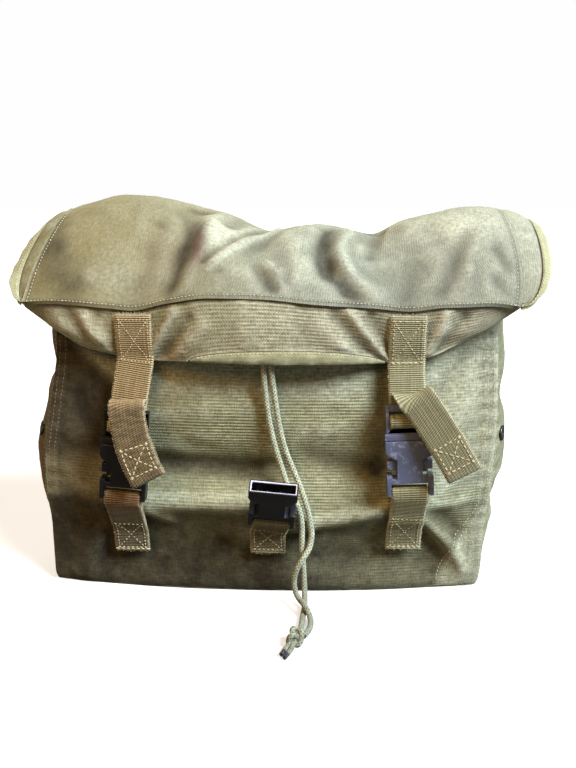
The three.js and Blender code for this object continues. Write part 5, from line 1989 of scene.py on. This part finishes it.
        self.needle.sew("stitching_strap_ends", bold, self.finishes.strap_thread, 3.4, 1.15, 1.0)
        self.needle.fray("frayed_strap_ends", ends, self.finishes.fibre)
        self.needle.fray("frayed_strap_edges", edges, self.finishes.fibre, 0.9)
        hung = {closure.side.word: (closure.buckle, closure.lean_deg, 0.0) for closure in self.pairs}
        hung["centre"] = (self.centre_at, self.centre_lean_deg, self.centre_tilt_deg)
        for word in ("male_left", "female_left", "female_centre", "male_right", "female_right"):
            # painted light: the right-hand halves take the lighter resin
            plastic = self.finishes.lit_scuffed_plastic if "right" in word else self.finishes.plastic
            self._build_moulding(nodes["buckle_" + word], plastic, *hung[word.split("_")[1]])

    @staticmethod
    def _build_upper(strap: Strap, closure: Closure, tip: float, webbing: Material) -> None:
        """Makes one upper strap.

        Args:
            strap: The webbing.
            closure: Where it belongs.
            tip: Where its free end is folded back, along it.
            webbing: What it is woven from.
        """
        fold = tip - closure.tail_long
        # the tail is painted darker, most on the left strap: dirt, and painted shade on the side away from
        # the key light
        soil_and_shade = 1.0 if closure.side is Side.LEFT else 0.4

        def turned_over(run: Array) -> Array:
            """1 on the tail, which shows the webbing's other face."""
            return smoothstep(fold - 12, fold - 2, run)

        shades = {
            "grime": lambda run: 0.1 + 0.5 * hump(run, 3.6, 0.9) + soil_and_shade * turned_over(run),
            "wear": lambda run: 1.3 * hump(run, 0, 2.2) + hump(run, tip, 2.6),
            "reverse": turned_over,
        }
        piece = strap.build("upper_webbing_" + closure.side.word, shades)
        adopt(piece, webbing, Slot.WEBBING, "upper_strap_" + closure.side.word)

    @staticmethod
    def _build_lower(strap: Strap, word: str, rusty: float, soiled: float, webbing: Material) -> None:
        """Makes one lower strap.

        Args:
            strap: The webbing.
            word: Ending of its name.
            rusty: How much rust colour it took from its buckle's bar.
            soiled: How dirty it is.
            webbing: What it is woven from.
        """
        bar = strap.length / 2
        shades = {
            "rust": lambda run: rusty * hump(run, bar + 8, 9),
            "grime": lambda run: soiled * (0.6 + 0.4 * smoothstep(bar + 10, bar + 24, run)),
            "wear": lambda run: 1.4 * smoothstep(strap.length - 4, strap.length - 1, run),
        }
        piece = strap.build("lower_webbing_" + word, shades)
        adopt(piece, webbing, Slot.WEBBING, "lower_strap_" + word)

    def _build_moulding(
        self, node: Piece, plastic: Material, at: Sequence[float], lean_deg: float, tilt_deg: float
    ) -> None:
        """Copies a buckle half's solid and gives it moulded edges and a mouth rim painted pale, as rubbing
        and a highlight.

        Args:
            node: The solid.
            plastic: What it is moulded from.
            at: Where the buckle hangs.
            lean_deg: Its lean sideways.
            tilt_deg: Its tilt forward.
        """
        mesh = node.data.copy()
        mesh.materials.clear()
        shell = bmesh.new()
        shell.from_mesh(mesh)
        bmesh.ops.remove_doubles(shell, verts=shell.verts, dist=0.00002)
        bmesh.ops.dissolve_limit(shell, angle_limit=math.radians(2), verts=shell.verts, edges=shell.edges)
        shell.to_mesh(mesh)
        shell.free()
        carrier = placed(node.name + "_edges", mesh)
        bevel = carrier.modifiers.new("moulded edges", "BEVEL")
        bevel.width, bevel.segments = 0.55 * MM, 3
        bevel.limit_method, bevel.angle_limit = "ANGLE", math.radians(30)
        result = baked(carrier)
        result.set_sharp_from_angle(angle=math.radians(40))
        places = np.array([vertex.co[:] for vertex in result.vertices])
        turn = turned("Y", lean_deg) @ turned("X", tilt_deg)
        own = (places - row_frame(at)) / MM @ turn
        below = np.abs(own[:, 2] - self.buckle.female_long)
        rim = below < 0.8
        wide, deep = np.abs(own[rim]).max(0)[:2] if rim.any() else (0, 0)
        inner = (np.abs(own[:, 0]) < wide - 1.2) & (np.abs(own[:, 1]) < deep - 0.8) & ("female" in node.name)
        # the mouth's rim is painted pale: rubbing and a painted highlight
        paint(result, "mouth", np.where(rim, np.where(inner, 1.0, 0.0), -below))
        adopt(placed(node.name.replace("buckle", "moulding"), result), plastic, Slot.PLASTIC, node.name)


# Eyelets


@dataclass
class Eyelets:
    """Rolled eyelets: one in each side gusset, and one for the drawcord."""

    finishes: Finishes
    body: Body
    gusset_share: float = 0.14
    gusset_z: float = 118.0
    cord_x: float = -1.0
    cord_z: float = 207.0
    # hole, outer radius and half the height of the rolled rim
    side_size: Triple = (2.75, 6.0, 2.7)
    cord_size: Triple = (5.6, 9.5, 2.7)

    def _ring(self, name: str, size: Triple, at: Array, normal: Array) -> Piece:
        """One eyelet: a washer with a rolled lip on each side of the cloth.

        Args:
            name: Name of the object.
            size: Its hole, outer radius and half height.
            at: Its centre on the outer face of the cloth.
            normal: Its axis.

        Returns:
            The object.
        """
        hole, rim, half = size
        lip = np.radians(np.linspace(-90, 90, 9))
        radii = [*((hole + rim) / 2 + (rim - hole) / 2 * np.sin(lip)), rim, hole + 1.2]
        heights = [*(half - 0.8 + 0.8 * np.cos(lip)), half - 1.0, half - 1.1]
        outline = [*zip(radii, heights), *((r, -h) for r, h in zip(radii[::-1], heights[::-1]))]
        turn = np.linspace(0, 2 * math.pi, 49)[:-1, None]
        axis = unit(normal)
        across = unit(np.cross(axis, [0.0, 0.3, 1.0]))
        spokes = across * np.cos(turn) + np.cross(axis, across) * np.sin(turn)
        points = np.stack([at + axis * (h - CLOTH / 2) + spokes * r for r, h in outline])
        index = np.arange(len(outline) * len(turn)).reshape(len(outline), -1)
        return make_mesh(name, points, quads(np.pad(index, (0, 1), mode="wrap")))

    def build(self) -> None:
        """Makes the eyelets."""
        t, z = np.array(self.gusset_share), np.array(self.gusset_z)
        for side in Side:
            place = partial(self.body.gusset, side)
            normal = np.cross(place(t + 0.05, z) - place(t - 0.05, z), place(t, z + 5) - place(t, z - 5))
            piece = self._ring("rolled_eyelet_" + side.word, self.side_size, place(t, z), normal * side.value)
            adopt(piece, self.finishes.metal, Slot.METAL, "side_eyelet_" + side.word)
        x, z = np.array(self.cord_x), np.array(self.cord_z)
        at = np.array([self.cord_x, float(self.body.front_y(x, z)), self.cord_z])
        rise = float(self.body.front_y(x, z + 5) - self.body.front_y(x, z - 5)) / 10
        piece = self._ring("rolled_cord_eyelet", self.cord_size, at, np.array([0.0, -1.0, rise]))
        adopt(piece, self.finishes.metal, Slot.METAL, "drawcord_eyelet")


# Shoulder straps


@dataclass
class ShoulderStraps:
    """Two plain straps behind the bag, sewn to the back panel at both ends."""

    finishes: Finishes
    needle: Needlework
    width: float = 38.0
    thick: float = 2.4
    # x, y, z of the right one
    route: Rows = (
        (58, 66.2, 214), (58, 67.2, 226), (58.6, 71.5, 234.5), (59.6, 80, 236), (61, 89, 230),
        (64, 98, 214), (70, 108, 182), (78, 117, 142), (86, 122, 100), (93, 123, 62), (98, 118, 30),
        (101, 107, 12), (103.5, 95, 6.5), (105, 83, 7.5), (106, 73.5, 13), (106.6, 69.6, 22), (107, 70, 34),
        (107, 70.4, 44),
    )

    def build(self) -> None:
        """Makes both straps and sews them on."""
        lines = []
        for side in Side:
            places = np.array(self.route) * np.array([side.value, 1, 1])
            across = np.repeat([[float(side.value), 0, 0]], len(places), axis=0)
            strap = Strap(places, across, self.width, self.thick, 2.0)
            piece = strap.build("shoulder_webbing_" + side.word, {"grime": lambda run: 0.35 + 0 * run})
            adopt(piece, self.finishes.shoulder_webbing, Slot.WEBBING, "shoulder_strap_" + side.word)
            for low, high in ((3, 19), (strap.length - 22, strap.length - 3)):
                lines += strap.crossed_box(low, high, -FORWARD, 4)
        self.needle.sew("stitching_shoulder_straps", lines, self.finishes.thread)


# Drawcord


@dataclass
class Drawcord:
    """A braided cord whose two strands hang from the eyelet and end in one knot on the floor."""

    finishes: Finishes
    diameter: float = 4.2
    braid_mm: float = 10.5  # length of one turn of a yarn round the cord
    yarns: int = 4
    left: Rows = (
        (-3.7, -72.8, 207), (-3.7, -77, 206.8), (-3.7, -81.5, 205), (-3.6, -85, 201), (-3.4, -86.8, 195.5),
        (-3.2, -87.6, 188), (-2.9, -88, 177), (-1.9, -86.2, 160), (0.4, -84.8, 141), (4.4, -84.2, 121),
        (9.4, -84.4, 104), (15, -87.4, 88), (21.8, -90.6, 75.6), (24, -91.6, 65), (24.2, -91.8, 56),
        (24.2, -92, 46), (25, -92, 34), (25.7, -92.6, 23), (26.3, -94, 13), (26.6, -98, 6),
        (26.4, -104, 3), (25.6, -112, 2.7), (25, -123.6, 2.7), (24.2, -132, 2.8), (22.9, -136.6, 3.1),
        (21.6, -140.2, 3.4),
    )
    right: Rows = (
        (1.7, -72.8, 207), (1.7, -77, 206.8), (1.8, -81.5, 205), (1.9, -85, 201), (2, -86.8, 195.5),
        (2.2, -87.6, 188), (2.5, -88, 177), (4.6, -86.2, 157), (7.8, -84.8, 135), (11.8, -84.2, 118),
        (16.6, -85, 105.6), (22, -87.6, 93), (27, -90.6, 79), (30, -91.6, 66), (31.2, -92.6, 55.6),
        (29.6, -95, 47), (25.6, -97.8, 40.6), (21.2, -97.8, 32.6), (18.9, -96.4, 24), (18.9, -96, 16.6),
        (20.4, -97, 11), (22.6, -101, 9.2), (25.6, -107.5, 9), (28.6, -113, 7), (30.8, -118, 3.6),
        (31.2, -124, 2.7), (30.4, -131, 2.7), (28.8, -136.6, 3), (26.4, -142.3, 3.4),
    )
    knot_at: Triple = (21, -148, 6.2)
    knot_turn_deg: float = 66.0
    knot_size: Triple = (15, 13, 11.8)

    def braid(self, name: str, path: Array, diameter: float, closed: bool = False) -> Piece:
        """A tube whose surface is a braid of yarns.

        Args:
            name: Name of the object.
            path: Even samples of its middle line.
            diameter: Its diameter.
            closed: True where it ends where it began.

        Returns:
            The object.
        """
        count, sides = len(path), 28
        around = np.roll(path, -1, 0) - np.roll(path, 1, 0)
        ahead = unit(around if closed else np.gradient(path, axis=0))
        normal = np.empty_like(path)
        normal[0] = unit(np.cross(ahead[0], [0.31, 0.5, 0.81]))
        for i in range(1, count):
            normal[i] = unit(normal[i - 1] - ahead[i] * (normal[i - 1] @ ahead[i]))
        other = np.cross(ahead, normal)
        run = run_along(path)
        angle = np.linspace(0, 2 * np.pi, sides + 1)[:-1]
        twist = 2 * np.pi * run[:, None] / self.braid_mm * self.yarns
        weave = np.maximum(np.cos(self.yarns * angle[None] + twist), np.cos(self.yarns * angle[None] - twist))
        radius = diameter / 2 * (0.93 + 0.09 * weave)
        cos, sin = np.cos(angle)[None, :, None], np.sin(angle)[None, :, None]
        spokes = normal[:, None] * cos + other[:, None] * sin
        points = path[:, None] + spokes * radius[..., None]
        index = np.arange(count * sides).reshape(count, sides)
        faces = quads(np.pad(index, ((0, int(closed)), (0, 1)), mode="wrap")).tolist()
        faces += [] if closed else [index[0][::-1].tolist(), index[-1].tolist()]
        flat = np.stack(np.broadcast_arrays(angle[None] * diameter / 2, run[:, None]), axis=2)
        # painted shade in the braid's hollows, and darker near the floor
        soil_and_shade = 0.5 * (1 - smoothstep(5, 45, points[..., 2]))
        return make_mesh(name, points, faces, flat, {"hollow": np.clip(0.75 - 0.75 * weave + soil_and_shade, 0, 1)}, 80)

    def _lie(self, local: Array) -> Array:
        """Points of the knot's own frame, laid on the floor."""
        return local @ turned("Z", self.knot_turn_deg).T + np.array(self.knot_at)

    def build(self) -> None:
        """Makes both strands, the knot and the sealed ends."""
        t = np.linspace(0, 2 * np.pi, 240)[:-1]
        x, y = np.sin(t) + 2 * np.sin(2 * t), np.cos(t) - 2 * np.cos(2 * t)
        shape = np.column_stack([x, y, -1.5 * np.sin(3 * t)])
        yarn = 0.95 * self.diameter
        room = (np.array(self.knot_size) - yarn) / 2
        knot = self.braid("knot_braid", self._lie(shape / np.abs(shape).max(0) * room), yarn, True)
        adopt(knot, self.finishes.cord, Slot.CORD, "drawcord_knot")
        tips = self._build_tips()
        for name, route, pieces in (("left", self.left, [knot, *tips]), ("right", self.right, [])):
            path = smooth_path(np.array(route), 0.55)
            strand = self.braid("drawcord_braid_" + name, path, self.diameter)
            adopt(strand, self.finishes.cord, Slot.CORD, "drawcord_" + name)

    def _build_tips(self) -> list[Piece]:
        """Makes the two short tails beyond the knot and their sealed ends.

        Returns:
            The objects.
        """
        start = -self.knot_size[0] / 2 + 2.0
        low = self.diameter / 2 + 0.3 - self.knot_at[2]
        made = []
        for number, off, reach, nodes in ((1, 1.9, 8.0, ["drawcord_tip"]), (2, -1.9, 10.6, [])):
            bend = (start - 0.4 * reach, off, low + 0.6)
            route = [(start, off * 0.6, -1.5), bend, (start - reach, off, low)]
            path = smooth_path(self._lie(np.array(route)), 0.5)
            tail = self.braid(f"drawcord_tail_{number}", path, 0.8 * self.diameter)
            made.append(adopt(tail, self.finishes.cord, Slot.CORD))
            end = unit(path[-1] - path[-4])
            cap = smooth_path(np.array([path[-1] - end, path[-1] + 2.0 * end, path[-1] + 4.4 * end]), 0.5)
            sealed = self.braid(f"sealed_tip_{number}", cap, 0.74 * self.diameter)
            made.append(adopt(sealed, self.finishes.cord_end, Slot.CORD_END, *nodes))
        return made


# Studio


@dataclass
class Studio:
    """A pale floor, soft lights and the camera of the photograph."""

    eye: Triple = (35.1, -692.8, 329.6)
    target: Triple = (13.5, -75.0, 164.0)
    lens: float = 42.19
    floor_half: float = 4000.0
    # name, direction that it stands in, its spread, its strength and its colour
    lamps: tuple[tuple[str, Triple, float, float, str], ...] = (
        ("key", (0.60, -0.42, 0.68), 26, 7.4, "#DDECFF"),
        ("fill", (-0.45, -0.7, 0.9), 40, 1.4, "#FFCC85"),
        ("back", (-0.15, 0.93, 0.30), 50, 2.2, "#F4EEDF"),
    )

    def build(self) -> None:
        """Sets up the whole studio."""
        self._camera()
        self._floor()
        self._lights()
        scene = bpy.context.scene
        scene.view_settings.view_transform = "Standard"
        scene.view_settings.look = "None"

    def _camera(self) -> None:
        """Adds the camera."""
        data = bpy.data.cameras.new("camera")
        data.lens = self.lens
        data.clip_start, data.clip_end = 0.01, 50.0
        camera = placed("camera", data)
        eye, target = Vector(row_frame(self.eye)), Vector(row_frame(self.target))
        camera.location = eye
        camera.rotation_euler = (target - eye).to_track_quat("-Z", "Y").to_euler()
        bpy.context.scene.camera = camera

    def _floor(self) -> None:
        """Adds the floor, matt and almost white."""
        mesh = bpy.data.meshes.new("floor")
        half = self.floor_half * MM
        corners = [(-half, -half, 0), (half, -half, 0), (half, half, 0), (-half, half, 0)]
        mesh.from_pydata(corners, [], [(0, 1, 2, 3)])
        mesh.materials.append(CardFinish("white_card", "#C8C8C6", "#5E5A52", 0.6).material())
        floor = placed("floor", mesh)
        floor.location.z = -0.0002

    def _lights(self) -> None:
        """Adds the lamps and a dim sky, which the camera sees as white."""
        for name, toward, spread_deg, power, tint in self.lamps:
            data = bpy.data.lights.new(name, "SUN")
            data.angle = math.radians(spread_deg)
            data.energy = power
            data.color = linear(tint)[:3]
            placed(name, data).rotation_euler = Vector(toward).to_track_quat("Z", "Y").to_euler()
        world = bpy.data.worlds.new("sky")
        world.use_nodes = True
        world.node_tree.nodes.clear()
        node = partial(add, world.node_tree)
        seen = node("Background", linear("#FEFEFE"), 1.0)
        glow = node("Background", linear("#F3E8D2"), 0.11)
        sky = node("MixShader", node("LightPath", out="Is Camera Ray"), glow, seen)
        node("OutputWorld", sky)
        bpy.context.scene.world = world


def main() -> None:
    """Builds the rucksack on its frame and reports each piece."""
    logging.basicConfig(level=logging.INFO, format="%(name)s: %(message)s")
    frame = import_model()
    finishes = Finishes()
    needle = Needlework()
    body = Body(finishes, needle)
    lid = Lid(finishes, needle, body)
    Studio().build()
    Drawcord(finishes).build()
    body.build()
    lid.build()
    Closures(finishes, needle, body, lid).build(frame["nodes"])
    Eyelets(finishes, body).build()
    ShoulderStraps(finishes, needle).build()
    bpy.context.view_layer.update()


if __name__ == "__main__":
    main()
